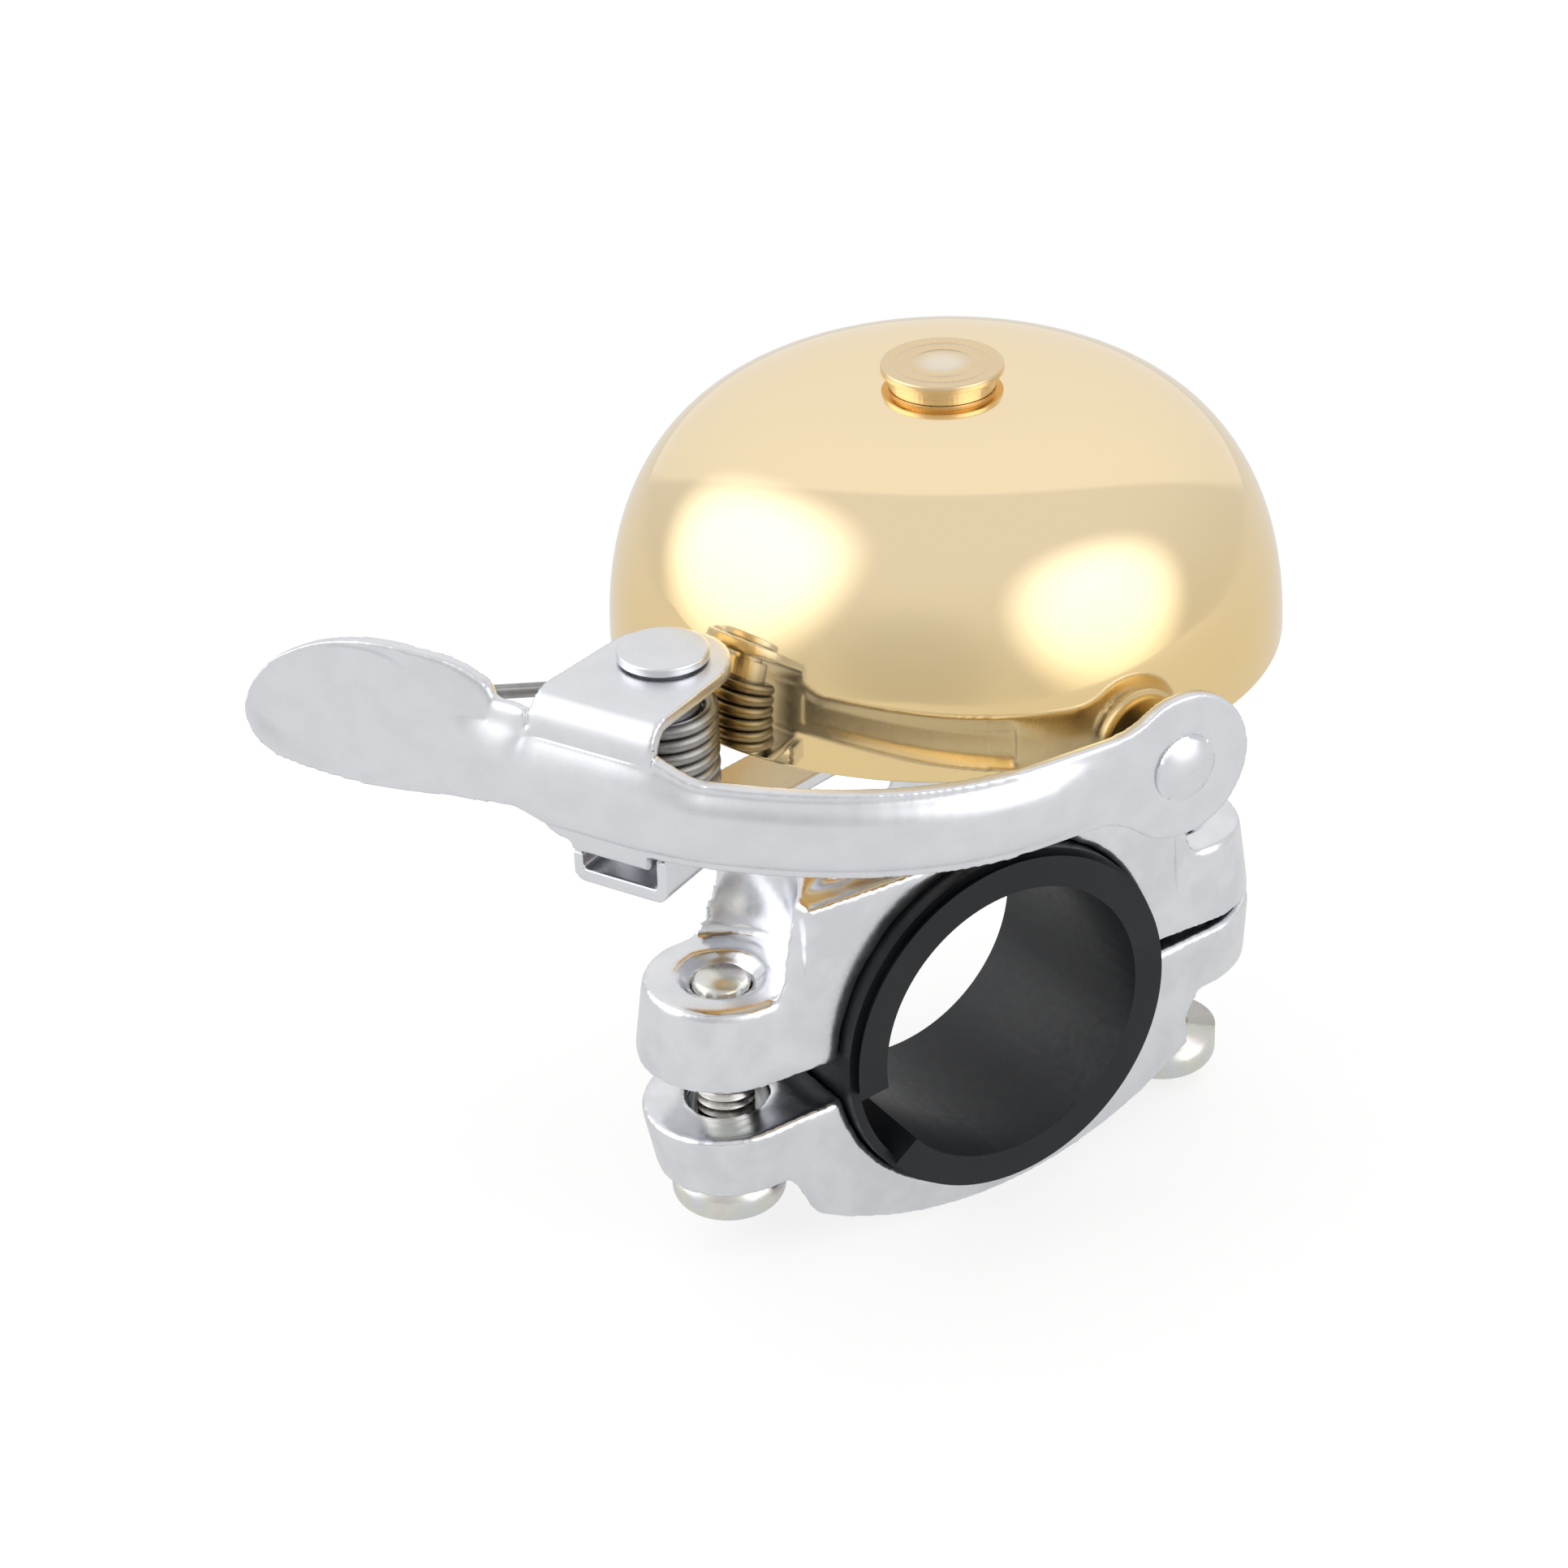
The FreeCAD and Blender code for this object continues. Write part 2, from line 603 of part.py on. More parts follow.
def make_post():
    seat = d.neck_top + d.sheet_steel + d.lock_washer_height
    top = d.bell_rim + d.bell_height - d.bell_wall - d.seat_washer
    body = part_body("bell_post")
    profile = sketch_on(body, "post_profile", "XZ_Plane")
    draw_outline(profile, [
        (0, d.neck_top - d.post_thread_length), (d.post_thread - 0.5, d.neck_top - d.post_thread_length),
        (d.post_thread, d.neck_top - d.post_thread_length + 0.5),
        (d.post_thread, seat), (d.post_shaft, seat), (d.post_shaft, top - d.post_collar_height * 2),
        (d.post_collar, top - d.post_collar_height), (d.post_collar, top), (0, top)])
    revolve(body, "post_turn", profile)
    foot = sketch_on(body, "post_foot", "XY_Plane", seat)
    corner = d.post_hex.number / 2 / math.cos(math.radians(30))
    draw_outline(foot, [
        (corner * math.cos(math.radians(60 * turn)), corner * math.sin(math.radians(60 * turn)))
        for turn in range(6)])
    pad(body, "post_foot_pad", foot, d.post_hex_height)
    thread = sketch_on(body, "post_thread_hole", "XY_Plane", top)
    draw_circle(thread, 0, 0, d.cap_thread)
    pocket(body, "post_thread_cut", thread, d.cap_thread_length)
    return body


def make_lock_washer():
    base = d.neck_top + d.sheet_steel
    body = ring("lock_washer", d.post_thread + 0.1, d.lock_washer_radius, base,
                d.lock_washer_height)
    slit = sketch_on(body, "lock_washer_slit", "XY_Plane", base)
    draw_outline(slit, [(0, -0.4), (d.lock_washer_radius * 2, -0.4),
                        (d.lock_washer_radius * 2, 0.4), (0, 0.4)])
    pocket(body, "lock_washer_slit_cut", slit, midplane=True)
    return body


def dome_point(turn, radius, height):
    # A flat-topped oval: full at the shoulder, almost upright at the rim.
    return (radius * math.cos(turn) ** 0.585, height * math.sin(turn) ** 0.91)


def make_dome():
    # The dome's curve comes from a formula, so its section is a spline made here.
    wall, rim, flat_radius = d.bell_wall.number, d.bell_rim.number, d.bell_flat.number
    edges = []
    ends = []
    for radius, height in ((d.bell_radius.number, d.bell_height.number),
                           (d.bell_radius.number - wall, d.bell_height.number - wall)):
        steps = [0, 0.12, 0.3, 0.5, 0.7, 0.9, 1.08, 1.25, 1.4]
        points = [dome_point(step, radius, height) for step in steps]
        points.append((flat_radius, height))
        curve = Part.BSplineCurve()
        curve.interpolate(
            Points=[FreeCAD.Vector(r, 0, rim + z) for r, z in points],
            InitialTangent=FreeCAD.Vector(0, 0, 1), FinalTangent=FreeCAD.Vector(-1, 0, 0))
        shoulder = FreeCAD.Vector(flat_radius, 0, rim + height)
        middle = FreeCAD.Vector(d.bell_hole.number, 0, rim + height)
        edges += [curve.toShape(), Part.makeLine(shoulder, middle)]
        ends.append((FreeCAD.Vector(radius, 0, rim), middle))
    edges.append(Part.makeLine(ends[0][0], ends[1][0]))
    edges.append(Part.makeLine(ends[0][1], ends[1][1]))
    section = Part.Face(Part.Wire(Part.__sortEdges__(edges)))
    feature = doc.addObject("Part::Feature", "bell_dome")
    feature.Shape = section.revolve(FreeCAD.Vector(), FreeCAD.Vector(0, 0, 1), 360)
    feature.Placement = FreeCAD.Placement()
    return feature


def make_cap_screw():
    base = d.bell_rim + d.bell_height + d.cap_washer_height
    low = d.bell_rim + d.bell_height - d.cap_thread_length
    top = base + d.cap_height
    return turned("cap_screw", [
        (0, low), (d.cap_thread, low), (d.cap_thread, base), (d.cap_radius, base),
        (d.cap_radius, top - d.cap_chamfer), (d.cap_radius - d.cap_chamfer, top), (0, top)])


# ---- lever ----

def on_the_arc(role, angle, out=0.0):
    # A plane through the centre of the arm's curve, turned with the arm.
    # YZ_Plane gives a cross section, XZ_Plane a plane along the arm.
    turn = FreeCAD.Rotation(FreeCAD.Vector(0, 1, 0), angle)
    across = d.arc_radius.number - d.ear_front.number
    centre = {"YZ_Plane": FreeCAD.Vector(across, 0, d.arc_start.number),
              "XZ_Plane": FreeCAD.Vector(d.arc_start.number, 0, -across)}[role]
    return FreeCAD.Placement(centre + turn.multVec(FreeCAD.Vector(0, 0, out)), turn)


def arm_section(sketch, proud):
    # The arm is a flat sheet with a round-sided rib pressed out between two margins.
    margin, back = -d.arc_radius, -d.arc_radius + d.lever_sheet
    face, inside = margin - proud, back - proud
    low, high = d.arm_low + d.arm_margin, d.arm_high - d.arm_margin
    half = math.atan2(float(proud.number), d.rib_side.number)
    round_side = d.rib_side.number / math.sin(2 * half)
    out, along = round_side * (1 - math.cos(half)), round_side * math.sin(half)
    draw_outline(sketch, [
        (margin, d.arm_low), (margin, low, (face + out, low + d.rib_side - along)),
        (face, low + d.rib_side),
        (face, high - d.rib_side, (face + out, high - d.rib_side + along)),
        (margin, high), (margin, d.arm_high), (back, d.arm_high), (back, high),
        (inside, high - d.rib_side), (inside, low + d.rib_side), (back, low),
        (back, d.arm_low)])


def blend_points(reach, radius, edge_height, blend):
    # Where a hollow corner leaves a straight edge and where it meets a round end.
    rise = edge_height + blend
    along = math.sqrt((radius + blend) ** 2 - rise ** 2)
    share = blend / (radius + blend)
    start = reach - along
    meet = (start + along * share, edge_height + blend - rise * share)
    half = math.atan2(along * share, rise * share) / 2
    middle = (start + blend * math.sin(half), edge_height + blend * (1 - math.cos(half)))
    return start, middle, meet


def add_ear(body, name, radius, left, face, bend, way):
    # An ear bent back from the wall to the pivot. face is its outside, and way is 1 for
    # the ear at the top of the wall and -1 for the one at its foot.
    wall, inside = -d.ear_front, bend - d.lever_sheet
    turn = math.sqrt(0.5)
    centre = (wall + bend, face - bend * way)
    band = sketch_on(body, f"{name}_ear_band", "YZ_Plane", left)
    draw_outline(band, [
        (wall, centre[1], (centre[0] - bend * turn, centre[1] + bend * (turn * way))),
        (centre[0], face),
        (centre[0], face - d.lever_sheet * way,
         (centre[0] - inside * turn, centre[1] + inside * (turn * way))),
        (wall + d.lever_sheet, centre[1])])
    pad(body, f"{name}_ear_bend", band, radius - left)
    plate = sketch_on(body, f"{name}_ear_plate", "XY_Plane", face)
    draw_outline(plate, [
        (left, centre[0]), (radius, centre[0]), (radius, 0, (0, radius)), (-radius, 0)])
    pad(body, f"{name}_ear", plate, d.lever_sheet, reverse=way > 0)


def make_lever():
    body = part_body("lever")

    # Thumb pad, neck and the walls of both ears: one bent strip. The neck is flush with
    # the rib's face, and a small step goes back to the ears.
    turn = math.radians(d.pad_turn.number)
    bend, inner = d.pad_bend.number, d.pad_bend.number + d.lever_sheet.number
    face = d.ear_front + d.rib_proud
    start, centre_y = d.pad_start.number, -face.number - bend
    step = d.rib_start + d.rib_step

    def bent(radius, angle):
        return (start - radius * math.sin(angle), centre_y + radius * math.cos(angle))

    def beyond(radius):
        x, y = bent(radius, turn)
        run = (x - d.pad_tip.number + 1.0) / math.cos(turn)
        return (x - run * math.cos(turn), y - run * math.sin(turn))

    plan = sketch_on(body, "lever_plan", "XY_Plane", d.low_ear_base)
    draw_outline(plan, [
        (d.ear_radius, -d.ear_front), (d.ear_radius, d.lever_sheet - d.ear_front),
        (step, d.lever_sheet - d.ear_front), (d.rib_start, d.lever_sheet - face),
        (d.pad_start, d.lever_sheet - face, bent(inner, turn / 2)), bent(inner, turn),
        beyond(inner), beyond(bend), (*bent(bend, turn), bent(bend, turn / 2)),
        (d.pad_start, -face), (d.rib_start, -face), (step, -d.ear_front)])
    pad(body, "lever_strip", plan, d.pad_top - d.low_ear_base + 1)
    first = sketch_on(body, "arm_first", "YZ_Plane", offset=on_the_arc("YZ_Plane", 0))
    arm_section(first, d.rib_proud)
    pad(body, "arm_straight", first, d.arc_start - d.rib_start, reverse=True)

    # All of it is cut to one outline.
    tip, mid = d.pad_tip, d.pad_middle
    low_wall = d.low_ear_base + d.low_ear_bend
    side = sketch_on(body, "lever_side", "XZ_Plane")
    edge_x, edge_low, edge_high = d.ear_radius * 2, d.low_ear_base - 3, d.pad_top + 4
    draw_outline(side, [
        (tip - 9, edge_low), (edge_x, edge_low), (edge_x, edge_high), (tip - 9, edge_high)])
    draw_outline(side, [
        (mid, d.pad_top, (mid + 3.5, d.pad_top - 0.4)),
        (mid + 6.6, d.pad_top - 1.6, (mid + 7.35, d.pad_top - 2.2)),
        (mid + 7.8, d.pad_top - 3.1, (mid + 8.5, d.pad_top - 3.9)),
        (mid + 9.7, d.neck_high + 0.4), (-d.ear_left - 0.4, d.neck_high),
        (-d.ear_left - 0.4, d.neck_notch), (-d.ear_left, d.neck_notch),
        (-d.ear_left, d.ear_top - d.ear_bend), (d.ear_radius, d.ear_top - d.ear_bend),
        (d.ear_radius, d.arm_low + 1), (d.low_ear_radius, d.arm_low + 1),
        (d.low_ear_radius, low_wall), (-d.low_ear_left, low_wall),
        (-d.low_ear_left - 0.3, low_wall, (-4.2, d.neck_low - 1.65)),
        (-5.4, d.neck_low - 0.7, (-6.5, d.neck_low - 0.1)),
        (-7.9, d.neck_low, (-12.1, d.neck_low - 0.3)),
        (mid + 1.2, d.pad_bottom, (mid - 4, d.pad_bottom + 0.3)),
        (tip + 2.9, d.pad_tip_height - 4.5, (tip + 0.65, d.pad_tip_height - 2.7)),
        (tip, d.pad_tip_height, (tip + 0.95, d.pad_tip_height + 2.7)),
        (tip + 3.9, d.pad_top - 2.1, (tip + 7.6, d.pad_top - 0.5))])
    pocket(body, "lever_side_cut", side, midplane=True)

    # Arm: curved and running out into the flat eyelet.
    again = sketch_on(body, "arm_again", "YZ_Plane", offset=on_the_arc("YZ_Plane", 0))
    arm_section(again, d.rib_proud)
    revolve(body, "arm_curve", again, "V_Axis", d.arc_angle)
    angle = d.arc_angle.number
    near = sketch_on(body, "arm_near", "YZ_Plane", offset=on_the_arc("YZ_Plane", angle))
    arm_section(near, d.rib_proud)
    far = sketch_on(body, "arm_far", "YZ_Plane",
                    offset=on_the_arc("YZ_Plane", angle, d.runout.number))
    arm_section(far, d.rib_end)
    loft = body.newObject("PartDesign::AdditiveLoft", "arm_runout")
    loft.Profile = near
    loft.Sections = [far]
    loft.Ruled = True
    doc.recompute()

    eyelet = sketch_on(body, "eyelet_outline", "XZ_Plane", offset=on_the_arc(
        "XZ_Plane", angle, (d.arc_radius - d.lever_sheet).number))
    middle = (d.arm_low.number + d.arm_high.number) / 2
    offset = d.eyelet_height.number - middle
    half = (d.arm_high.number - d.arm_low.number) / 2
    reach, radius = d.eyelet_reach.number, d.eyelet_radius.number
    up = blend_points(reach, radius, half - offset, d.eyelet_blend.number)
    down = blend_points(reach, radius, half + offset, d.eyelet_blend.number)
    height = d.eyelet_height.number
    draw_outline(eyelet, [
        (0, d.arm_high), (up[0], d.arm_high, (up[1][0], height + up[1][1])),
        (up[2][0], height + up[2][1], (d.eyelet_reach + d.eyelet_radius, d.eyelet_height)),
        (down[2][0], height - down[2][1], (down[1][0], height - down[1][1])),
        (down[0], d.arm_low), (0, d.arm_low)])
    pad(body, "eyelet", eyelet, d.lever_sheet)
    rivet = sketch_on(body, "eyelet_hole", "XZ_Plane", offset=on_the_arc(
        "XZ_Plane", angle, (d.arc_radius - d.lever_sheet * 2).number))
    draw_circle(rivet, d.eyelet_reach, d.eyelet_height, d.hammer_hole)
    pocket(body, "eyelet_hole_cut", rivet, d.lever_sheet * 4, reverse=True)

    add_ear(body, "upper", d.ear_radius, -d.ear_left, d.ear_top, d.ear_bend, 1)
    add_ear(body, "lower", d.low_ear_radius, -d.low_ear_left, d.low_ear_base, d.low_ear_bend, -1)
    holes = sketch_on(body, "ear_holes", "XY_Plane")
    draw_circle(holes, 0, 0, d.ear_hole)
    pocket(body, "ear_hole_cut", holes, reverse=True)
    turned_about_z(body, d.lever_turn.number, d.pivot_x.number, d.pivot_y.number)
    return body


def hammer_place():
    # Where the striker sits: its own +Z points from the eyelet to the bell.
    lever = math.radians(d.lever_turn.number)
    centre_x, centre_y = d.arc_start.number, d.arc_radius.number - d.ear_front.number
    x = d.pivot_x.number + centre_x * math.cos(lever) - centre_y * math.sin(lever)
    y = d.pivot_y.number + centre_x * math.sin(lever) + centre_y * math.cos(lever)
    back = x + (d.arc_radius - d.lever_sheet).number
    along = y + d.eyelet_reach.number
    return FreeCAD.Placement(
        FreeCAD.Vector(back, along, d.eyelet_height.number),
        FreeCAD.Rotation(FreeCAD.Vector(0, 1, 0), -90))


def make_hammer():
    edge, near = 0.9, 1 - math.sqrt(0.5)
    return turned("hammer", [
        (d.hammer_hole, 0), (d.hammer_radius - 0.4, 0), (d.hammer_radius, 0.4),
        (d.hammer_radius, d.hammer_height - edge,
         (d.hammer_radius - edge * near, d.hammer_height - edge * near)),
        (d.hammer_radius - edge, d.hammer_height), (0, d.hammer_height),
        (0, d.hammer_height - 0.6), (d.hammer_hole, d.hammer_height - 0.6)], hammer_place())


def cap_middle(radius, height):
    # The point half way up the side of a round cap: how far out and how far below its top.
    ball = (radius ** 2 + height ** 2) / (2 * height)
    half = math.asin(radius / ball) / 2
    return ball * math.sin(half), ball * (1 - math.cos(half))


def make_hammer_rivet():
    face = -d.lever_sheet
    head, land = d.hammer_rivet_head, 0.2
    top = face - d.hammer_rivet_height
    out, drop = cap_middle(head.number, d.hammer_rivet_height.number - land)
    return turned("hammer_rivet", [
        (0, d.hammer_height - 0.6), (d.hammer_hole, d.hammer_height - 0.6),
        (d.hammer_hole, face), (head, face), (head, face - land, (out, top + drop)),
        (0, top)], hammer_place())


# ---- pivot and spring ----

def make_pin():
    under = d.neck_top
    head = d.ear_top + d.play + d.washer_height
    top = head + d.pin_head_height
    body = turned("pivot_rivet", [
        (0, under - d.pin_tail_height), (d.pin_tail_radius - 0.3, under - d.pin_tail_height),
        (d.pin_tail_radius, under - d.pin_tail_height + 0.3), (d.pin_tail_radius, under),
        (d.pin_radius, under), (d.pin_radius, head), (d.pin_head_radius, head),
        (d.pin_head_radius, top - 0.25), (d.pin_head_radius - 0.25, top), (0, top)])
    put_on_pivot(body)
    return body


def make_pivot_rings():
    hole = d.pin_radius + 0.02
    floor = d.neck_top + d.sheet_steel
    low_top = d.low_ear_base + d.lever_sheet
    high_base = d.ear_top - d.lever_sheet
    rings = [
        ring("pivot_spacer", hole, d.spacer_radius, floor, d.low_ear_base - d.play - floor),
        ring("pivot_sleeve", hole, d.sleeve_radius, low_top + d.play,
             high_base - low_top - d.play * 2),
        ring("pivot_washer", hole, d.washer_radius, d.ear_top + d.play, d.washer_height)]
    for body in rings:
        put_on_pivot(body)
    return rings


def make_spring():
    # Coil about the pivot, one leg behind the thumb pad and one hooked past the bracket's
    # edge. The coil starts on its own +X and winds up and round to where the long leg leaves.
    swept = d.coil_turns * 360 + d.spring_long_turn - d.spring_short_turn - 180
    helix = doc.addObject("Part::Helix", "spring_helix")
    bind(helix, "Pitch", d.coil_height * 360 / swept)
    bind(helix, "Height", d.coil_height)
    bind(helix, "Radius", d.coil_radius)
    helix.Placement = FreeCAD.Placement(
        FreeCAD.Vector(0, 0, d.coil_start.number), FreeCAD.Rotation())
    wire = doc.addObject("Part::Circle", "spring_wire")
    bind(wire, "Radius", d.wire_radius)
    wire.Placement = FreeCAD.Placement(
        FreeCAD.Vector(d.coil_radius.number, 0, d.coil_start.number),
        FreeCAD.Rotation(FreeCAD.Vector(1, 0, 0), 90))
    coil = doc.addObject("Part::Sweep", "spring_coil")
    coil.Sections = [wire]
    coil.Spine = (helix, ["Edge1"])
    coil.Solid = True
    coil.Frenet = True
    doc.recompute()

    def leg(name, start, direction, length):
        rod = doc.addObject("Part::Cylinder", name)
        bind(rod, "Radius", d.wire_radius)
        bind(rod, "Height", length)
        rod.Placement = FreeCAD.Placement(
            start, FreeCAD.Rotation(FreeCAD.Vector(0, 0, 1), direction))
        return rod

    def ball(name, at):
        knuckle = doc.addObject("Part::Sphere", name)
        bind(knuckle, "Radius", d.wire_radius)
        knuckle.Placement = FreeCAD.Placement(at, FreeCAD.Rotation())
        return knuckle

    radius = d.coil_radius.number
    end_angle = math.radians(swept.number)
    top = FreeCAD.Vector(radius * math.cos(end_angle), radius * math.sin(end_angle),
                         (d.coil_start + d.coil_height).number)
    onward = FreeCAD.Vector(-math.sin(end_angle), math.cos(end_angle), 0)
    low = FreeCAD.Vector(radius, 0, d.coil_start.number)
    back = FreeCAD.Vector(0, -1, 0)
    corner = low + back * d.spring_short_leg.number
    pieces = [
        coil, leg("spring_leg_long", top, onward, d.spring_long_leg),
        ball("spring_knuckle_top", top), leg("spring_leg_short", low, back, d.spring_short_leg),
        ball("spring_knuckle_low", low), ball("spring_knuckle_hook", corner),
        leg("spring_hook_leg", corner, FreeCAD.Vector(0, 0, -1), d.spring_hook)]
    spring = doc.addObject("Part::MultiFuse", "torsion_spring")
    spring.Label = "torsion_spring"
    spring.Shapes = pieces
    turned_about_z(spring, (d.spring_short_turn + 90).number,
                   d.pivot_x.number, d.pivot_y.number)
    return spring


parts["clamp_upper"] = make_clamp_upper()
parts["clamp_lower"] = make_clamp_lower()
parts["bar_liner"] = make_liner()
parts["bar_reducer"] = make_reducer()
parts["clamp_screw_left"] = make_screw("left", -1, d.left_seat)
parts["clamp_screw_right"] = make_screw("right", 1, d.right_seat)
parts["base_bracket"] = make_bracket()
parts["bell_post"] = make_post()
parts["lock_washer"] = make_lock_washer()
dome_seat = d.bell_rim + d.bell_height - d.bell_wall - d.seat_washer
parts["dome_seat_washer"] = ring(
    "dome_seat_washer", d.bell_hole, d.post_collar, dome_seat, d.seat_washer)
parts["bell_dome"] = make_dome()
parts["cap_washer"] = ring(
    "cap_washer", d.bell_hole, d.cap_washer_radius, d.bell_rim + d.bell_height,
    d.cap_washer_height)
parts["cap_screw"] = make_cap_screw()
parts["pivot_rivet"] = make_pin()
for body in make_pivot_rings():
    parts[body.Label] = body
parts["torsion_spring"] = make_spring()
parts["lever"] = make_lever()
parts["hammer"] = make_hammer()
parts["hammer_rivet"] = make_hammer_rivet()

doc.recompute()
for item in doc.Objects:
    if "Invalid" in item.State or "Error" in item.State:
        raise RuntimeError(f"{item.Name} failed: {item.State}")
for name, part in parts.items():
    shape = part.Shape
    if shape.isNull() or not shape.isValid() or len(shape.Solids) != 1:
        raise RuntimeError(f"{name} is not one valid solid: {len(shape.Solids)}")
for name, part in parts.items():
    part.Shape.exportStep(f"parts/{name}.step")
    box = part.Shape.BoundBox
    print(f"{name:18s} volume {part.Shape.Volume:9.1f}  "
          f"x {box.XMin:7.2f} {box.XMax:7.2f}  y {box.YMin:7.2f} {box.YMax:7.2f}  "
          f"z {box.ZMin:7.2f} {box.ZMax:7.2f}")
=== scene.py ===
import bpy
import math
from mathutils import Matrix, Vector


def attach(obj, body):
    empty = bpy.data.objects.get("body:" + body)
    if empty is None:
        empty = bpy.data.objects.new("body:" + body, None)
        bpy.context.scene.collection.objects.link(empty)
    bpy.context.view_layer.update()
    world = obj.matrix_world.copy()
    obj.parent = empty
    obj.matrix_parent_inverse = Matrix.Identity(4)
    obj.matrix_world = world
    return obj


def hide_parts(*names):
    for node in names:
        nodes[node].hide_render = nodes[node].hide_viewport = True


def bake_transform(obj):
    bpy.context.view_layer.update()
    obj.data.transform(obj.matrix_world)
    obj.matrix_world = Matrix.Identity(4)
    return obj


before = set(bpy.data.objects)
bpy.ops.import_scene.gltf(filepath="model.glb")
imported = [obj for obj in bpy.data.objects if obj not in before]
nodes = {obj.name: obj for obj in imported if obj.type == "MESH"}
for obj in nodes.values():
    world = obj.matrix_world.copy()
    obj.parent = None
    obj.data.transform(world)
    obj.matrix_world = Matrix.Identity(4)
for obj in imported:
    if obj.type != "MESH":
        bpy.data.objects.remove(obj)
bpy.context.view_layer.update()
mm = 0.001
print("frame loaded:", len(nodes), "nodes")


def deselectAll():
    if bpy.context.mode != "OBJECT":
        bpy.ops.object.mode_set(mode="OBJECT")
    bpy.ops.object.select_all(action="DESELECT")


def makeActive(piece):
    deselectAll()
    piece.select_set(True)
    bpy.context.view_layer.objects.active = piece


def applyModifiers(piece):
    makeActive(piece)
    for modifier in list(piece.modifiers):
        bpy.ops.object.modifier_apply(modifier=modifier.name)


def roundCorners(profile, steps=5):
    # profile: (radius, height) or (radius, height, fillet). Gives the points with round corners.
    points = []
    for number, point in enumerate(profile):
        corner = Vector(point[:2])
        if len(point) < 3 or number in (0, len(profile) - 1):
            points.append(corner)
            continue
        before = Vector(profile[number - 1][:2]) - corner
        after = Vector(profile[number + 1][:2]) - corner
        half = before.angle(after) / 2
        reach = min(point[2] / math.tan(half), before.length * 0.98, after.length * 0.98)
        first = corner + before.normalized() * reach
        last = corner + after.normalized() * reach
        for step in range(steps + 1):
            share = step / steps
            swing = (1 - share) ** 2 * first + 2 * share * (1 - share) * corner + share ** 2 * last
            points.append(swing)
    return points


def turnedPiece(name, profile, segments=96, closed=False):
    # Extrudes a vertex along the profile, in mm, and spins it round Z.
    deselectAll()
    bpy.ops.mesh.primitive_plane_add(size=mm)
    piece = bpy.context.object
    piece.name = name
    bpy.ops.object.mode_set(mode="EDIT")
    bpy.ops.mesh.select_mode(type="VERT")
    bpy.ops.mesh.merge(type="CENTER")
    points = roundCorners(profile)
    if closed:
        points.append(points[0])
    bpy.ops.transform.translate(value=(points[0].x * mm, 0, points[0].y * mm))
    here = points[0]
    for point in points[1:]:
        step = point - here
        bpy.ops.mesh.extrude_region_move(
            TRANSFORM_OT_translate={"value": (step.x * mm, 0, step.y * mm)})
        here = point
    bpy.ops.mesh.select_all(action="SELECT")
    bpy.ops.mesh.spin(steps=segments, angle=math.tau, center=(0, 0, 0), axis=(0, 0, 1))
    bpy.ops.mesh.select_all(action="SELECT")
    bpy.ops.mesh.remove_doubles(threshold=0.002 * mm)
    bpy.ops.mesh.normals_make_consistent(inside=False)
    bpy.ops.object.mode_set(mode="OBJECT")
    return piece


def placePiece(piece, spot):
    # Moves a piece and bakes its place into its mesh.
    makeActive(piece)
    piece.location = Vector(spot)
    bpy.ops.object.transform_apply(location=True, rotation=True, scale=True)


def copyOfNode(node, name):
    # A welded copy of a solid, to be finished as a piece of its own.
    piece = nodes[node].copy()
    piece.data = nodes[node].data.copy()
    piece.name = name
    for key in list(piece.keys()):
        del piece[key]
    piece.parent = None
    piece.matrix_world = Matrix.Identity(4)
    bpy.context.scene.collection.objects.link(piece)
    makeActive(piece)
    bpy.ops.object.mode_set(mode="EDIT")
    bpy.ops.mesh.select_all(action="SELECT")
    bpy.ops.mesh.remove_doubles(threshold=0.001 * mm)
    bpy.ops.object.mode_set(mode="OBJECT")
    return piece


def smoothShade(piece, angle=30):
    makeActive(piece)
    bpy.ops.object.shade_smooth_by_angle(angle=math.radians(angle))


def finishPiece(piece, material, body, node, angle=30):
    # Its shading, its finish, the solid it stands for and the body it goes with.
    smoothShade(piece, angle)
    piece.data.materials.clear()
    piece.data.materials.append(material)
    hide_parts(*([node] if isinstance(node, str) else node))
    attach(piece, body)


def newMaterial(name, **sockets):
    material = bpy.data.materials.new(name)
    material.use_nodes = True
    shader = material.node_tree.nodes["Principled BSDF"]
    for socket, value in sockets.items():
        label = {"color": "Base Color", "metallic": "Metallic", "roughness": "Roughness",
                 "specular": "Specular IOR Level"}[socket]
        shader.inputs[label].default_value = (*value, 1) if socket == "color" else value
    return material, material.node_tree, shader


def addNode(tree, kind, **settings):
    node = tree.nodes.new(kind)
    for key, value in settings.items():
        setattr(node, key, value)
    return node


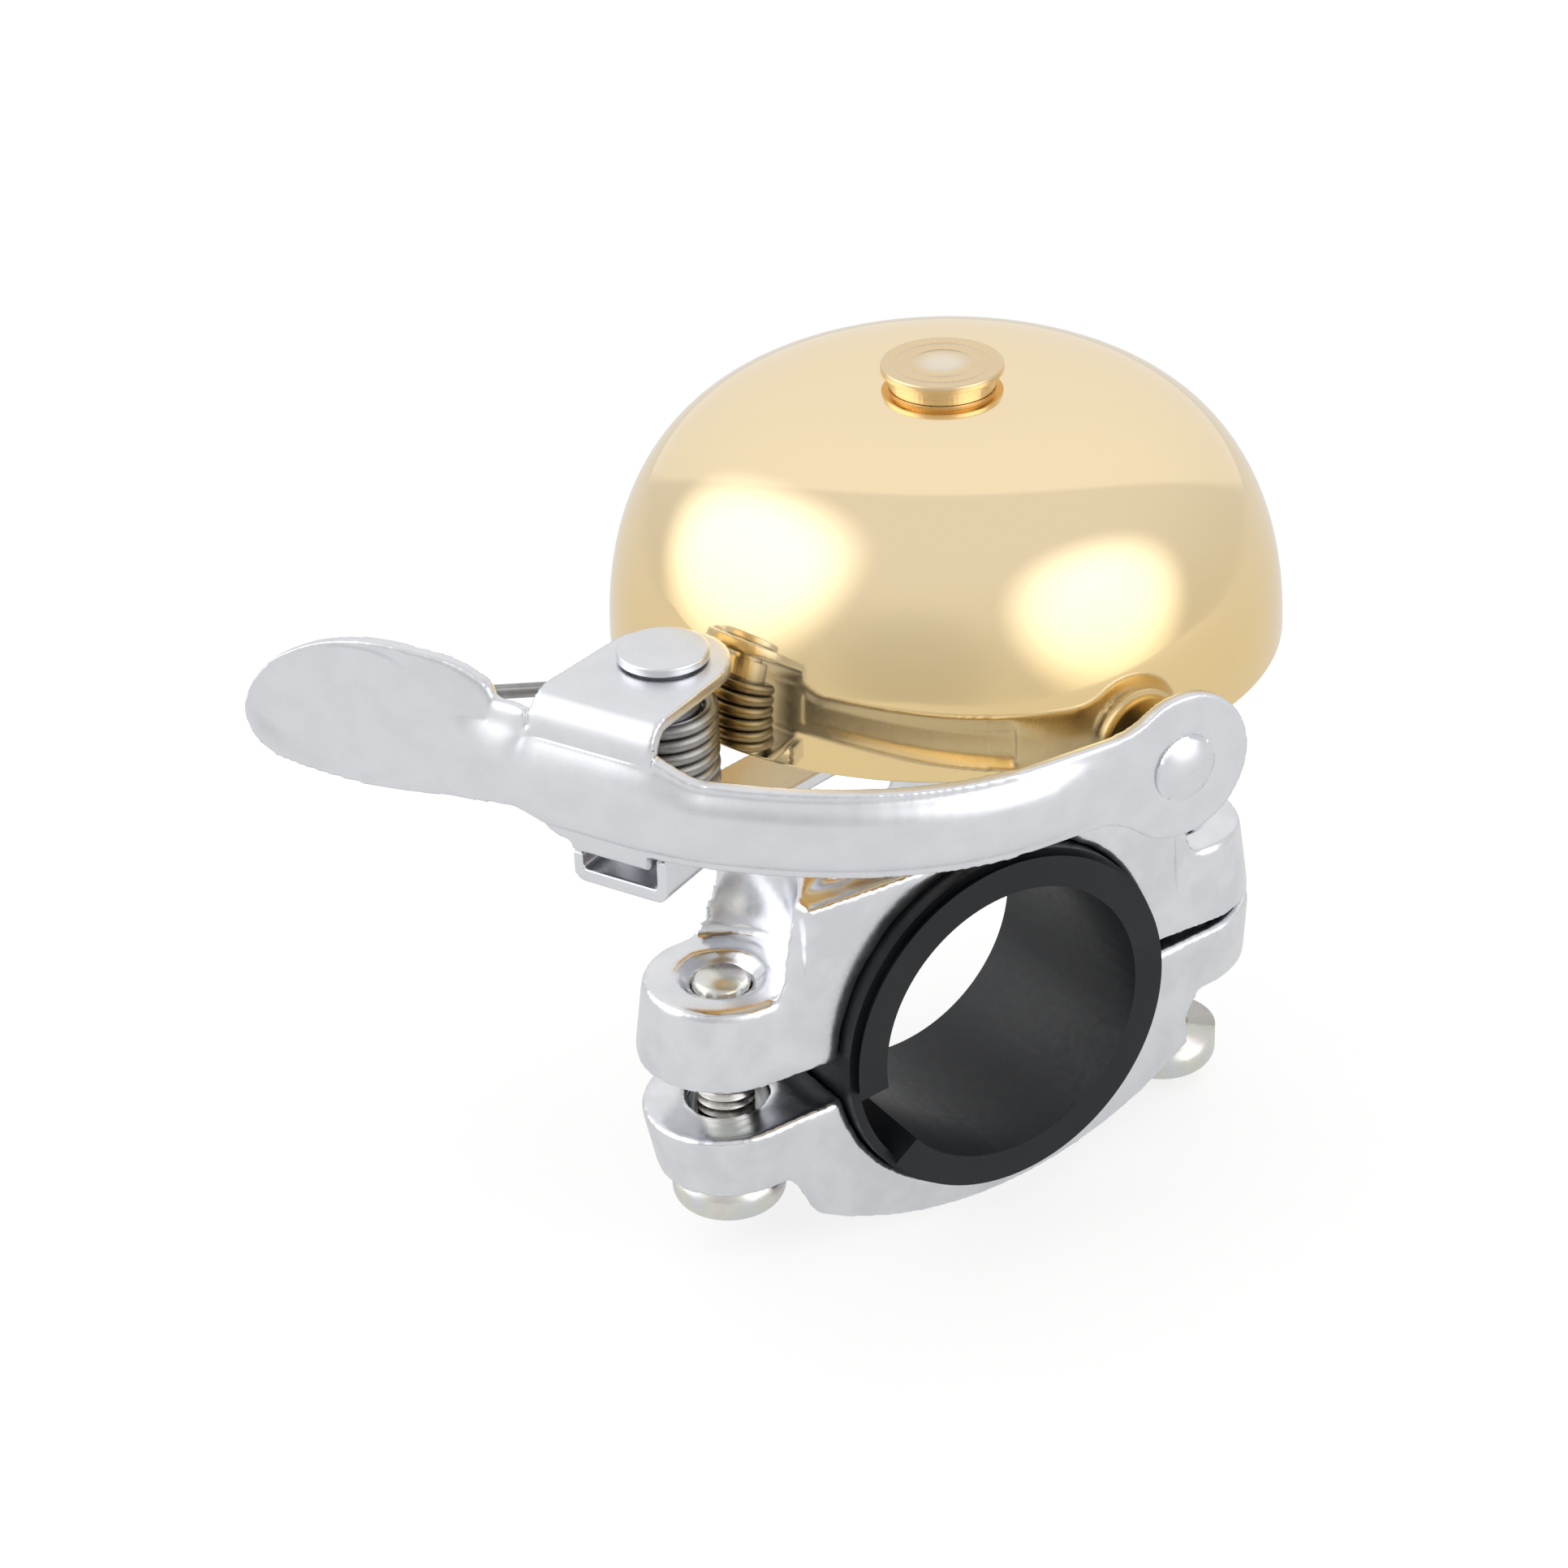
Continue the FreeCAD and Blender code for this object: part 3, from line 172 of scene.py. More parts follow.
def makeMottleGroup():
    # Fine and coarse unevenness of a metal skin, as a value for roughness and a height.
    group = bpy.data.node_groups.new("metalMottle", "ShaderNodeTree")
    face = group.interface
    for label, kind, value in (
            ("Fine Scale", "NodeSocketFloat", 3000), ("Coarse Scale", "NodeSocketFloat", 300),
            ("Grain", "NodeSocketFloat", 1.0),
            ("Low", "NodeSocketFloat", 0.2), ("High", "NodeSocketFloat", 0.35)):
        socket = face.new_socket(label, in_out="INPUT", socket_type=kind)
        socket.default_value = value
    face.new_socket("Roughness", in_out="OUTPUT", socket_type="NodeSocketFloat")
    face.new_socket("Height", in_out="OUTPUT", socket_type="NodeSocketFloat")
    face.new_socket("Mask", in_out="OUTPUT", socket_type="NodeSocketFloat")
    inside = addNode(group, "NodeGroupInput")
    outside = addNode(group, "NodeGroupOutput")
    where = addNode(group, "ShaderNodeTexCoord")
    fine = addNode(group, "ShaderNodeTexNoise")
    coarse = addNode(group, "ShaderNodeTexNoise")
    fine.inputs["Detail"].default_value = 3
    coarse.inputs["Detail"].default_value = 4
    # Grain below 1 draws the fine part out into streaks along Z.
    split = addNode(group, "ShaderNodeSeparateXYZ")
    drawn = addNode(group, "ShaderNodeMath", operation="MULTIPLY")
    join = addNode(group, "ShaderNodeCombineXYZ")
    group.links.new(where.outputs["Object"], split.inputs["Vector"])
    group.links.new(split.outputs["Z"], drawn.inputs[0])
    group.links.new(inside.outputs["Grain"], drawn.inputs[1])
    group.links.new(split.outputs["X"], join.inputs["X"])
    group.links.new(split.outputs["Y"], join.inputs["Y"])
    group.links.new(drawn.outputs["Value"], join.inputs["Z"])
    group.links.new(join.outputs["Vector"], fine.inputs["Vector"])
    group.links.new(where.outputs["Object"], coarse.inputs["Vector"])
    for noise, label in ((fine, "Fine Scale"), (coarse, "Coarse Scale")):
        group.links.new(inside.outputs[label], noise.inputs["Scale"])
    blend = addNode(group, "ShaderNodeMix", data_type="FLOAT")
    blend.inputs["Factor"].default_value = 0.55
    group.links.new(fine.outputs["Fac"], blend.inputs["A"])
    group.links.new(coarse.outputs["Fac"], blend.inputs["B"])
    spread = addNode(group, "ShaderNodeMapRange")
    spread.inputs["From Min"].default_value = 0.35
    spread.inputs["From Max"].default_value = 0.65
    group.links.new(blend.outputs["Result"], spread.inputs["Value"])
    group.links.new(inside.outputs["Low"], spread.inputs["To Min"])
    group.links.new(inside.outputs["High"], spread.inputs["To Max"])
    mask = addNode(group, "ShaderNodeMapRange")
    mask.inputs["From Min"].default_value = 0.38
    mask.inputs["From Max"].default_value = 0.62
    group.links.new(coarse.outputs["Fac"], mask.inputs["Value"])
    group.links.new(spread.outputs["Result"], outside.inputs["Roughness"])
    group.links.new(blend.outputs["Result"], outside.inputs["Height"])
    group.links.new(mask.outputs["Result"], outside.inputs["Mask"])
    return group


mottleGroup = makeMottleGroup()

# Scales are per metre. low and high are the ends of the roughness, relief is in mm, and a finish
# drifts from its first colour to its last; for the two brasses that drift is painted sheen and painted
# highlight.
finishes = {
    "polishedBrass": {"fine": 900, "coarse": 60, "low": 0.05, "high": 0.085, "bump": 0.03,
                      "relief": 0.02, "first": (0.90, 0.68, 0.34), "last": (0.97, 0.79, 0.51)},
    "turnedBrass": {"fine": 2500, "coarse": 420, "low": 0.2, "high": 0.3, "bump": 0.05,
                    "relief": 0.02, "first": (0.90, 0.80, 0.64), "last": (0.83, 0.65, 0.40)},
    "satinStainless": {"fine": 5200, "coarse": 420, "low": 0.26, "high": 0.34, "bump": 0.025,
                       "relief": 0.02, "grain": 0.1, "first": (0.78, 0.79, 0.825),
                       "last": (0.815, 0.825, 0.855)},
    "castAluminium": {"fine": 2200, "coarse": 330, "low": 0.15, "high": 0.26, "bump": 0.16,
                      "relief": 0.05, "first": (0.76, 0.77, 0.80), "last": (0.83, 0.84, 0.865)},
    "zincPlate": {"fine": 1800, "coarse": 400, "low": 0.2, "high": 0.34, "bump": 0.08,
                  "relief": 0.03},
    "springSteel": {"fine": 2400, "coarse": 500, "low": 0.3, "high": 0.38, "bump": 0.03,
                    "relief": 0.02, "first": (0.32, 0.31, 0.30), "last": (0.41, 0.40, 0.39)},
    "blackPlastic": {"fine": 1500, "coarse": 120, "low": 0.3, "high": 0.46, "bump": 0.12,
                     "relief": 0.03, "first": (0.009, 0.011, 0.014),
                     "last": (0.016, 0.018, 0.022)}}


def addMottle(tree, shader, finish):
    # Places the shared group and wires it to roughness and a bump.
    mottle = addNode(tree, "ShaderNodeGroup", node_tree=mottleGroup)
    mottle.inputs["Fine Scale"].default_value = finish["fine"]
    mottle.inputs["Coarse Scale"].default_value = finish["coarse"]
    mottle.inputs["Grain"].default_value = finish.get("grain", 1.0)
    mottle.inputs["Low"].default_value = finish["low"]
    mottle.inputs["High"].default_value = finish["high"]
    relief = addNode(tree, "ShaderNodeBump")
    relief.inputs["Strength"].default_value = finish["bump"]
    relief.inputs["Distance"].default_value = finish["relief"] * mm
    tree.links.new(mottle.outputs["Roughness"], shader.inputs["Roughness"])
    tree.links.new(mottle.outputs["Height"], relief.inputs["Height"])
    tree.links.new(relief.outputs["Normal"], shader.inputs["Normal"])
    return mottle, relief


def tintByMask(tree, shader, mask, finish):
    tint = addNode(tree, "ShaderNodeMix", data_type="RGBA")
    tint.inputs["A"].default_value = (*finish["first"], 1)
    tint.inputs["B"].default_value = (*finish["last"], 1)
    tree.links.new(mask, tint.inputs["Factor"])
    tree.links.new(tint.outputs["Result"], shader.inputs["Base Color"])


def makeMottled(name, metallic=1.0, specular=0.5):
    # A finish with no marks but the group's, whose colour drifts with the group's mask.
    finish = finishes[name]
    material, tree, shader = newMaterial(name, color=finish["last"], metallic=metallic,
                                         specular=specular)
    mottle, relief = addMottle(tree, shader, finish)
    tintByMask(tree, shader, mottle.outputs["Mask"], finish)
    return material


# Painted sheen on the dome: between these heights its brass colour is painted paler towards the top, in
# place of the reflection of the bright overhead.
paintedSheenHeights = {"low": 38, "high": 52}  # heights where the dome turns paler


def makeBrass():
    # Polished brass with a painted sheen: its colour is painted paler towards the top.
    finish = finishes["polishedBrass"]
    material, tree, shader = newMaterial("polishedBrass", color=finish["last"], metallic=1.0)
    addMottle(tree, shader, finish)
    where = addNode(tree, "ShaderNodeTexCoord")
    split = addNode(tree, "ShaderNodeSeparateXYZ")
    # The painted sheen: colour painted paler up the dome between the two heights.
    ramp = addNode(tree, "ShaderNodeMapRange", interpolation_type="SMOOTHSTEP")
    ramp.inputs["From Min"].default_value = paintedSheenHeights["low"] * mm
    ramp.inputs["From Max"].default_value = paintedSheenHeights["high"] * mm
    tree.links.new(where.outputs["Object"], split.inputs["Vector"])
    tree.links.new(split.outputs["Z"], ramp.inputs["Value"])
    tintByMask(tree, shader, ramp.outputs["Result"], finish)
    return material


# The lathe marks, and the radii in mm where the cap's painted highlight, its paler middle, starts and
# ends to fade.
lathe = {"pitch": 0.35, "bump": 0.2, "depth": 0.02, "waver": 0.6, "paintedHighlightInner": 0.8, "paintedHighlightOuter": 2.6}


def addRings(tree, shader, relief):
    # Fine concentric marks of a lathe round Z.
    where = addNode(tree, "ShaderNodeTexCoord")
    rings = addNode(tree, "ShaderNodeTexWave", wave_type="RINGS", rings_direction="Z")
    rings.inputs["Scale"].default_value = 0.314 / (lathe["pitch"] * mm)
    rings.inputs["Distortion"].default_value = lathe["waver"]
    marks = addNode(tree, "ShaderNodeBump")
    marks.inputs["Strength"].default_value = lathe["bump"]
    marks.inputs["Distance"].default_value = lathe["depth"] * mm
    tree.links.new(where.outputs["Object"], rings.inputs["Vector"])
    tree.links.new(rings.outputs["Fac"], marks.inputs["Height"])
    tree.links.new(relief.outputs["Normal"], marks.inputs["Normal"])
    tree.links.new(marks.outputs["Normal"], shader.inputs["Normal"])


def makeTurnedBrass():
    # Duller than the dome, with a painted highlight that makes its middle paler.
    finish = finishes["turnedBrass"]
    material, tree, shader = newMaterial("turnedBrass", color=finish["last"], metallic=1.0)
    mottle, relief = addMottle(tree, shader, finish)
    addRings(tree, shader, relief)
    where = addNode(tree, "ShaderNodeTexCoord")
    level = addNode(tree, "ShaderNodeVectorMath", operation="MULTIPLY")
    level.inputs[1].default_value = (1, 1, 0)
    reach = addNode(tree, "ShaderNodeVectorMath", operation="LENGTH")
    # The painted highlight: colour painted paler within the inner radius, fading out by the outer.
    middle = addNode(tree, "ShaderNodeMapRange", interpolation_type="SMOOTHSTEP")
    middle.inputs["From Min"].default_value = lathe["paintedHighlightInner"] * mm
    middle.inputs["From Max"].default_value = lathe["paintedHighlightOuter"] * mm
    tree.links.new(where.outputs["Object"], level.inputs[0])
    tree.links.new(level.outputs["Vector"], reach.inputs[0])
    tree.links.new(reach.outputs["Value"], middle.inputs["Value"])
    tintByMask(tree, shader, middle.outputs["Result"], finish)
    return material


passivation = {"scale": 260, "stops": (
    (0.34, (0.76, 0.71, 0.72)), (0.47, (0.79, 0.77, 0.70)),
    (0.57, (0.74, 0.76, 0.69)), (0.68, (0.74, 0.75, 0.77)))}


def makeZinc():
    # A thin clear passivation that drifts between yellow, green and pink.
    finish = finishes["zincPlate"]
    material, tree, shader = newMaterial("zincPlate", metallic=1.0)
    addMottle(tree, shader, finish)
    where = addNode(tree, "ShaderNodeTexCoord")
    drift = addNode(tree, "ShaderNodeTexNoise")
    drift.inputs["Scale"].default_value = passivation["scale"]
    drift.inputs["Detail"].default_value = 1
    ramp = addNode(tree, "ShaderNodeValToRGB")
    stops = ramp.color_ramp.elements
    for number, (place, color) in enumerate(passivation["stops"]):
        stop = stops[0] if number == 0 else stops.new(place)
        stop.position = place
        stop.color = (*color, 1)
    stops.remove(stops[len(stops) - 1])
    tree.links.new(where.outputs["Object"], drift.inputs["Vector"])
    tree.links.new(drift.outputs["Fac"], ramp.inputs["Fac"])
    tree.links.new(ramp.outputs["Color"], shader.inputs["Base Color"])
    return material


brass = makeBrass()
capBrass = makeTurnedBrass()
stainless = makeMottled("satinStainless")
castAluminium = makeMottled("castAluminium")
zinc = makeZinc()
springSteel = makeMottled("springSteel")
blackPlastic = makeMottled("blackPlastic", metallic=0.0, specular=0.35)
print("materials made")

# The dome's side follows a superellipse: sideBend and crownBend are its powers.
dome = {"radius": 27.5, "height": 21.4, "wall": 1.2, "flat": 5.3, "hole": 2.6, "rim": 34.4,
        "lip": 0.3, "sideBend": 0.585, "crownBend": 0.91, "sweep": 1.5, "flatEdge": 0.6,
        "segments": 192, "steps": 40}


def domeCurve(radius, height):
    # From the rim to the flat on top.
    curve = []
    for step in range(dome["steps"] + 1):
        turn = dome["sweep"] * math.sin(step / dome["steps"] * math.pi / 2)
        curve.append((radius * math.cos(turn) ** dome["sideBend"],
                      height * math.sin(turn) ** dome["crownBend"]))
    return [point for point in curve if point[0] > dome["flat"] + dome["flatEdge"]]


def makeDome():
    rim, wall, top = dome["rim"], dome["wall"], dome["rim"] + dome["height"]
    outer = domeCurve(dome["radius"], dome["height"])
    inner = domeCurve(dome["radius"] - wall, dome["height"] - wall)
    profile = [(dome["hole"], top - wall)]
    profile += [(r, rim + z) for r, z in reversed(inner[1:])]
    profile += [(dome["radius"] - wall, rim, dome["lip"]), (dome["radius"], rim, dome["lip"])]
    profile += [(r, rim + z) for r, z in outer[1:]]
    profile += [(dome["flat"], top), (dome["hole"], top)]
    piece = turnedPiece("bellShell", profile, dome["segments"], closed=True)
    finishPiece(piece, brass, "base", "bell_dome", 40)
    print("dome done")


makeDome()


casting = {"grain": 0.28, "rounds": 34, "slant": 0.7}


def softenCopy(node, name, grain, rounds, slant=0.0):
    # A copy of a solid in even small faces, with its edges rounded off. The slant keeps long
    # edges from running along the rows of faces.
    piece = copyOfNode(node, name)
    turned = Matrix.Rotation(slant, 4, Vector((0.6, 0.5, 0.62)))
    piece.data.transform(turned)
    remesh = piece.modifiers.new("skin", "REMESH")
    remesh.mode = "VOXEL"
    remesh.voxel_size = grain * mm
    remesh.adaptivity = 0
    soften = piece.modifiers.new("tumble", "SMOOTH")
    soften.factor = 0.5
    soften.iterations = rounds
    applyModifiers(piece)
    piece.data.transform(turned.inverted())
    return piece


for node, name in (("clamp_upper", "upperCasting"), ("clamp_lower", "lowerCasting")):
    piece = softenCopy(node, name, casting["grain"], casting["rounds"], casting["slant"])
    finishPiece(piece, castAluminium, "base", node, 180)
print("castings done")


# In mm, as along the lever from its pivot and as heights. The arm is an arc of arcAngle degrees.
lever = {"grain": 0.2, "rounds": 5, "pivot": (8.15, -31.3), "turn": 26.35, "plane": 10.0,
         "sheet": 1.1, "arcStart": 1.7, "arcRadius": 31.2, "arcAngle": 63.65, "arcDepth": 3,
         "runout": 5.4, "ribEnd": 0.04, "earSide": 5.2, "earFoot": 40.65, "earTop": 42.65,
         "earLift": 0.55, "lowEar": 32.1, "ribStart": -6.6, "ribStep": 0.6, "ribProud": 0.6,
         "ribSide": 1.5, "low": 33.05, "high": 38.95}
# The finished rib stands a little prouder, with a broad upper side that widens at the ear.
rib = {"proud": 0.9, "side": 2.0, "earSide": 3.7, "creaseLift": 1.5, "liftStart": 35.5,
       "liftEnd": 9.0}
# The pad: its upper edge comes down a little, its neck leans back and its face is dished.
# A drop is (along, amount).
thumbPad = {"drop": ((-30, 0.3), (-25, 0.65), (-17.4, 0.9), (-13.1, 1.35), (-11, 1.7), (-10.2, 1.65),
                     (-9.3, 1.0), (-8.2, 0.5), (-6.3, 0.35)),
            "dropLow": 37.5, "dropHigh": 43, "neckFrom": -8.4, "neckTo": -5.4,
            "leanFrom": -16.0, "leanTo": -9.0, "leanLow": 37.2, "leanHigh": 40.7, "leanOn": 0.25,
            "middle": (-20.6, 39.4), "reach": (8.9, 6.6), "dish": 0.5}
eyeletDrop = {"amount": 0.75, "from": 10.0, "to": 34.0}
# Where the pressed forms run into each other: from, to and the rounds of smoothing.
blended = ((-9.6, -5.0, 14), (33.5, 43.0, 10))


def ease(low, high, value):
    share = min(max((value - low) / (high - low), 0), 1)
    return share * share * (3 - 2 * share)


def between(pairs, value):
    # Straight interpolation in a short list of (place, amount).
    for (low, first), (high, last) in zip(pairs, pairs[1:]):
        if low <= value <= high:
            return first + (last - first) * (value - low) / (high - low)
    return pairs[0][1] if value < pairs[0][0] else pairs[-1][1]


def roundedSide(proud, side, rise):
    # How far a rib stands out, rise above the crease at the foot of its rounded side.
    rise = min(max(rise, 0), side)
    radius = (side ** 2 + proud ** 2) / (2 * proud)
    return proud - radius + math.sqrt(radius ** 2 - (side - rise) ** 2)


def pressedOut(height, crease, proud, upper, lower):
    # A rib between its two creases.
    if not lever["low"] < height < crease:
        return 0.0
    return min(roundedSide(proud, upper, crease - height),
               roundedSide(proud, lower, height - lever["low"]))


def solidStands(along, height, left):
    # How far the solid's own face stands out from the plane of the ears.
    step = 1 - min(max((along - lever["ribStart"]) / lever["ribStep"], 0), 1)
    flat = pressedOut(height, lever["high"], lever["ribProud"] * left, lever["ribSide"],
                      lever["ribSide"])
    return max(flat, lever["ribProud"] * step) if along > lever["ribStart"] else lever["ribProud"]


def armShape(along, height, left):
    # Where the finished arm's face is, and how far a spot of it moves up.
    near = 1 - ease(lever["earSide"] - 1, rib["liftEnd"], along)
    lifted = near * rib["creaseLift"] * ease(rib["liftStart"], lever["high"], height)
    if along < lever["earSide"] and height > lever["high"]:
        lifted *= max(0, (lever["earFoot"] - height) / (lever["earFoot"] - lever["high"]))
    upper = rib["side"] + (rib["earSide"] - rib["side"]) * near
    stands = pressedOut(height + lifted, lever["high"] + near * rib["creaseLift"],
                        rib["proud"] * left, upper, lever["ribSide"])
    return stands, lifted


def padShape(along, height):
    # The same for the pad and its neck: it leans back above, and its face is dished.
    drop = between(thumbPad["drop"], along)
    drop *= ease(thumbPad["dropLow"], thumbPad["dropHigh"], height)
    height -= drop
    lean = ease(thumbPad["leanFrom"], thumbPad["leanTo"], along)
    side = thumbPad["leanHigh"] - thumbPad["leanLow"]
    back = rib["proud"] - roundedSide(rib["proud"], side, thumbPad["leanHigh"] - height)
    back += thumbPad["leanOn"] * max(0, height - thumbPad["leanHigh"])
    middle, reach = thumbPad["middle"], thumbPad["reach"]
    across, rise = (along - middle[0]) / reach[0], (height - middle[1]) / reach[1]
    edge = 0.2 + 0.55 * ease(-0.2, 0.6, rise * 0.8 - across * 0.6)
    dish = thumbPad["dish"] * (1 - ease(edge, 1.0, across ** 2 + rise ** 2))
    flat = lever["ribProud"]
    return flat + (rib["proud"] - flat - back) * lean - dish, -drop


def finishSheet(along, height):
    # How far a spot of the pressed sheet moves out and up.
    end = lever["arcStart"] + lever["arcRadius"] * math.radians(lever["arcAngle"])
    left = max(lever["ribEnd"], 1 - max(along - end, 0) / lever["runout"])
    share = ease(thumbPad["neckFrom"], thumbPad["neckTo"], along)
    stands, lifted = armShape(along, height, left)
    if share < 1:
        padStands, padLifted = padShape(along, height)
        stands = padStands + (stands - padStands) * share
        lifted = padLifted + (lifted - padLifted) * share
    return stands - solidStands(along, height, left), lifted


def smoothPart(piece, chosen, rounds):
    # Smooths the chosen vertices only.
    makeActive(piece)
    for vertex, wanted in zip(piece.data.vertices, chosen):
        vertex.select = wanted
    bpy.context.tool_settings.mesh_select_mode = (True, False, False)
    bpy.ops.object.mode_set(mode="EDIT")
    bpy.ops.mesh.vertices_smooth(factor=0.5, repeat=rounds)
    bpy.ops.mesh.select_all(action="DESELECT")
    bpy.ops.object.mode_set(mode="OBJECT")


def makeLever():
    # The pressed sheet: each vertex is moved by where it is along the sheet, which is straight at
    # the pad, an arc along the arm and straight again at the eyelet.
    piece = softenCopy("lever", "pressedLever", lever["grain"], lever["rounds"])
    turn = math.radians(lever["turn"])
    onward = Vector((math.cos(turn), math.sin(turn), 0))
    outward = Vector((math.sin(turn), -math.cos(turn), 0))
    pivot = Vector((*lever["pivot"], 0))
    centre = pivot + onward * lever["arcStart"] - outward * (lever["arcRadius"] - lever["plane"])
    sweep = math.radians(lever["arcAngle"])
    ending = outward.copy()
    ending.rotate(Matrix.Rotation(sweep, 3, "Z"))
    beyond = onward.copy()
    beyond.rotate(Matrix.Rotation(sweep, 3, "Z"))
    places = []
    for vertex in piece.data.vertices:
        spot = vertex.co / mm
        height = spot.z
        flat = Vector((spot.x, spot.y, 0))
        along = (flat - pivot).dot(onward)
        depth = (flat - pivot).dot(outward)
        facing = outward
        earStart = lever["ribStart"] + lever["ribStep"]
        onEar = earStart < along < lever["earSide"] + 0.5 and height > lever["earFoot"]
        arm = flat - centre
        if along > lever["arcStart"] and arm.length > lever["arcRadius"] - lever["arcDepth"]:
            angle = math.atan2(arm.dot(onward), arm.dot(outward))
            if angle < sweep:
                along = lever["arcStart"] + lever["arcRadius"] * angle
                facing = arm.normalized()
                depth = arm.length - lever["arcRadius"] + lever["plane"]
            else:
                along = lever["arcStart"] + lever["arcRadius"] * sweep + arm.dot(beyond)
                facing = ending
                depth = arm.dot(ending) - lever["arcRadius"] + lever["plane"]
        out = 0.0
        lifted = 0.0
        if onEar:
            lifted = lever["earLift"] * ease(lever["earFoot"], lever["earTop"], height)
        elif depth > lever["plane"] - lever["sheet"] - 0.4 and height > lever["lowEar"]:
            out, lifted = finishSheet(along, height)
        lifted -= eyeletDrop["amount"] * ease(eyeletDrop["from"], eyeletDrop["to"], along)
        vertex.co += (facing * out + Vector((0, 0, lifted))) * mm
        # The ear is kept out of the stretches that are smoothed.
        places.append(-100 if onEar else along)
    for low, high, rounds in blended:
        smoothPart(piece, [low < along < high for along in places], rounds)
    finishPiece(piece, stainless, "lever", "lever", 180)


makeLever()
print("lever done")


def weldNode(node, name, material, body, angle=35, shift=0.0):
    # A piece with its solid's own shape, raised or lowered with what it lies on.
    piece = copyOfNode(node, name)
    piece.data.transform(Matrix.Translation((0, 0, shift * mm)))
    finishPiece(piece, material, body, node, angle)


for node, name, material, slot in (
        ("bar_liner", "barLiner", blackPlastic, "black_plastic"),
        ("bell_post", "bellPost", zinc, "zinc_plate"),
        ("lock_washer", "lockWasher", stainless, "stainless"),
        ("dome_seat_washer", "seatWasher", stainless, "stainless"),
        ("pivot_spacer", "pivotSpacer", stainless, "stainless"),
        ("pivot_sleeve", "pivotSleeve", stainless, "stainless"),
        ("cap_washer", "capWasher", capBrass, "brass")):
    weldNode(node, name, material, "base")
# The striker hangs on the eyelet, and the pivot's washer lies on the ear.
for node, name in (("hammer", "strikerDisc"), ("hammer_rivet", "strikerRivet")):
    weldNode(node, name, stainless, "lever", shift=-eyeletDrop["amount"])
weldNode("pivot_washer", "pivotWasher", stainless, "base", shift=lever["earLift"])


reducer = {"outer": 14.4, "flange": 15.5, "collar": 8.74, "step": 0.02}


def makeReducer():
    # The C-shaped reducer with a collar round each end, in front of the liner.
    piece = copyOfNode("bar_reducer", "barReducer")
    makeActive(piece)
    bpy.ops.object.mode_set(mode="EDIT")
    for side in (-1, 1):
        for shift in (-1, 1):
            place = side * (reducer["collar"] + shift * reducer["step"])
            bpy.ops.mesh.select_all(action="SELECT")
            bpy.ops.mesh.bisect(plane_co=(place * mm, 0, 0), plane_no=(1, 0, 0))
    bpy.ops.object.mode_set(mode="OBJECT")
    for vertex in piece.data.vertices:
        radius = math.hypot(vertex.co.y, vertex.co.z) / mm
        if abs(vertex.co.x) > reducer["collar"] * mm and radius > reducer["outer"]:
            vertex.co.y *= reducer["flange"] / radius
            vertex.co.z *= reducer["flange"] / radius
    finishPiece(piece, blackPlastic, "base", "bar_reducer")


makeReducer()

bracket = {"grain": 0.17, "rounds": 5}
piece = softenCopy("base_bracket", "bracket", bracket["grain"], bracket["rounds"])
finishPiece(piece, stainless, "base", "base_bracket", 180)


cap = {"face": 57.3, "edge": 4.95, "waist": 4.4, "under": 56.3, "shank": 2.0, "end": 46.8}


def makeCap():
    # A turned cap with a shallow centre and two fine grooves, over a narrower shoulder.
    face, edge, waist, shank = cap["face"], cap["edge"], cap["waist"], cap["shank"]
    profile = [(0, face - 0.1), (1.2, face - 0.09), (1.5, face - 0.03), (2.5, face - 0.03),
               (2.6, face - 0.08), (2.72, face - 0.02), (3.7, face - 0.02), (3.8, face - 0.07),
               (3.92, face - 0.01), (edge, face, 0.25), (edge, face - 0.62, 0.08),
               (waist, face - 0.68, 0.05), (waist, cap["under"]), (shank, cap["under"]),
               (shank, cap["end"]), (0, cap["end"])]
    piece = turnedPiece("capScrew", profile, 96)
    finishPiece(piece, capBrass, "base", "cap_screw", 40)


pivotPin = {"seat": 43.45, "head": 3.6, "headHeight": 0.75, "shank": 2.0, "foot": 27.9,
            "footRadius": 3.0, "footHeight": 0.8}


def makePivotRivet():
    low, under = pivotPin["seat"] + lever["earLift"], pivotPin["foot"]
    head, shank, foot = pivotPin["head"], pivotPin["shank"], pivotPin["footRadius"]
    top, end = low + pivotPin["headHeight"], under - pivotPin["footHeight"]
    profile = [(0, top), (head, top, 0.28), (head, low, 0.12), (shank, low), (shank, under),
               (foot, under, 0.1), (foot, end, 0.3), (0, end)]
    piece = turnedPiece("pivotRivet", profile, 64)
    placePiece(piece, (lever["pivot"][0] * mm, lever["pivot"][1] * mm, 0))
    finishPiece(piece, stainless, "base", "pivot_rivet", 40)


# The thread runs up from a seat, the height where the shaft leaves the head. The cutter's crest
# is just outside the shaft, so that a narrow plain band stays between the grooves.
screw = {"crest": 2.47, "root": 2.02, "pitch": 0.8, "turns": 20, "start": 0.3, "clear": 3.0,
         "reach": 22.7, "leftSeat": -10.55, "rightSeat": -13.4}


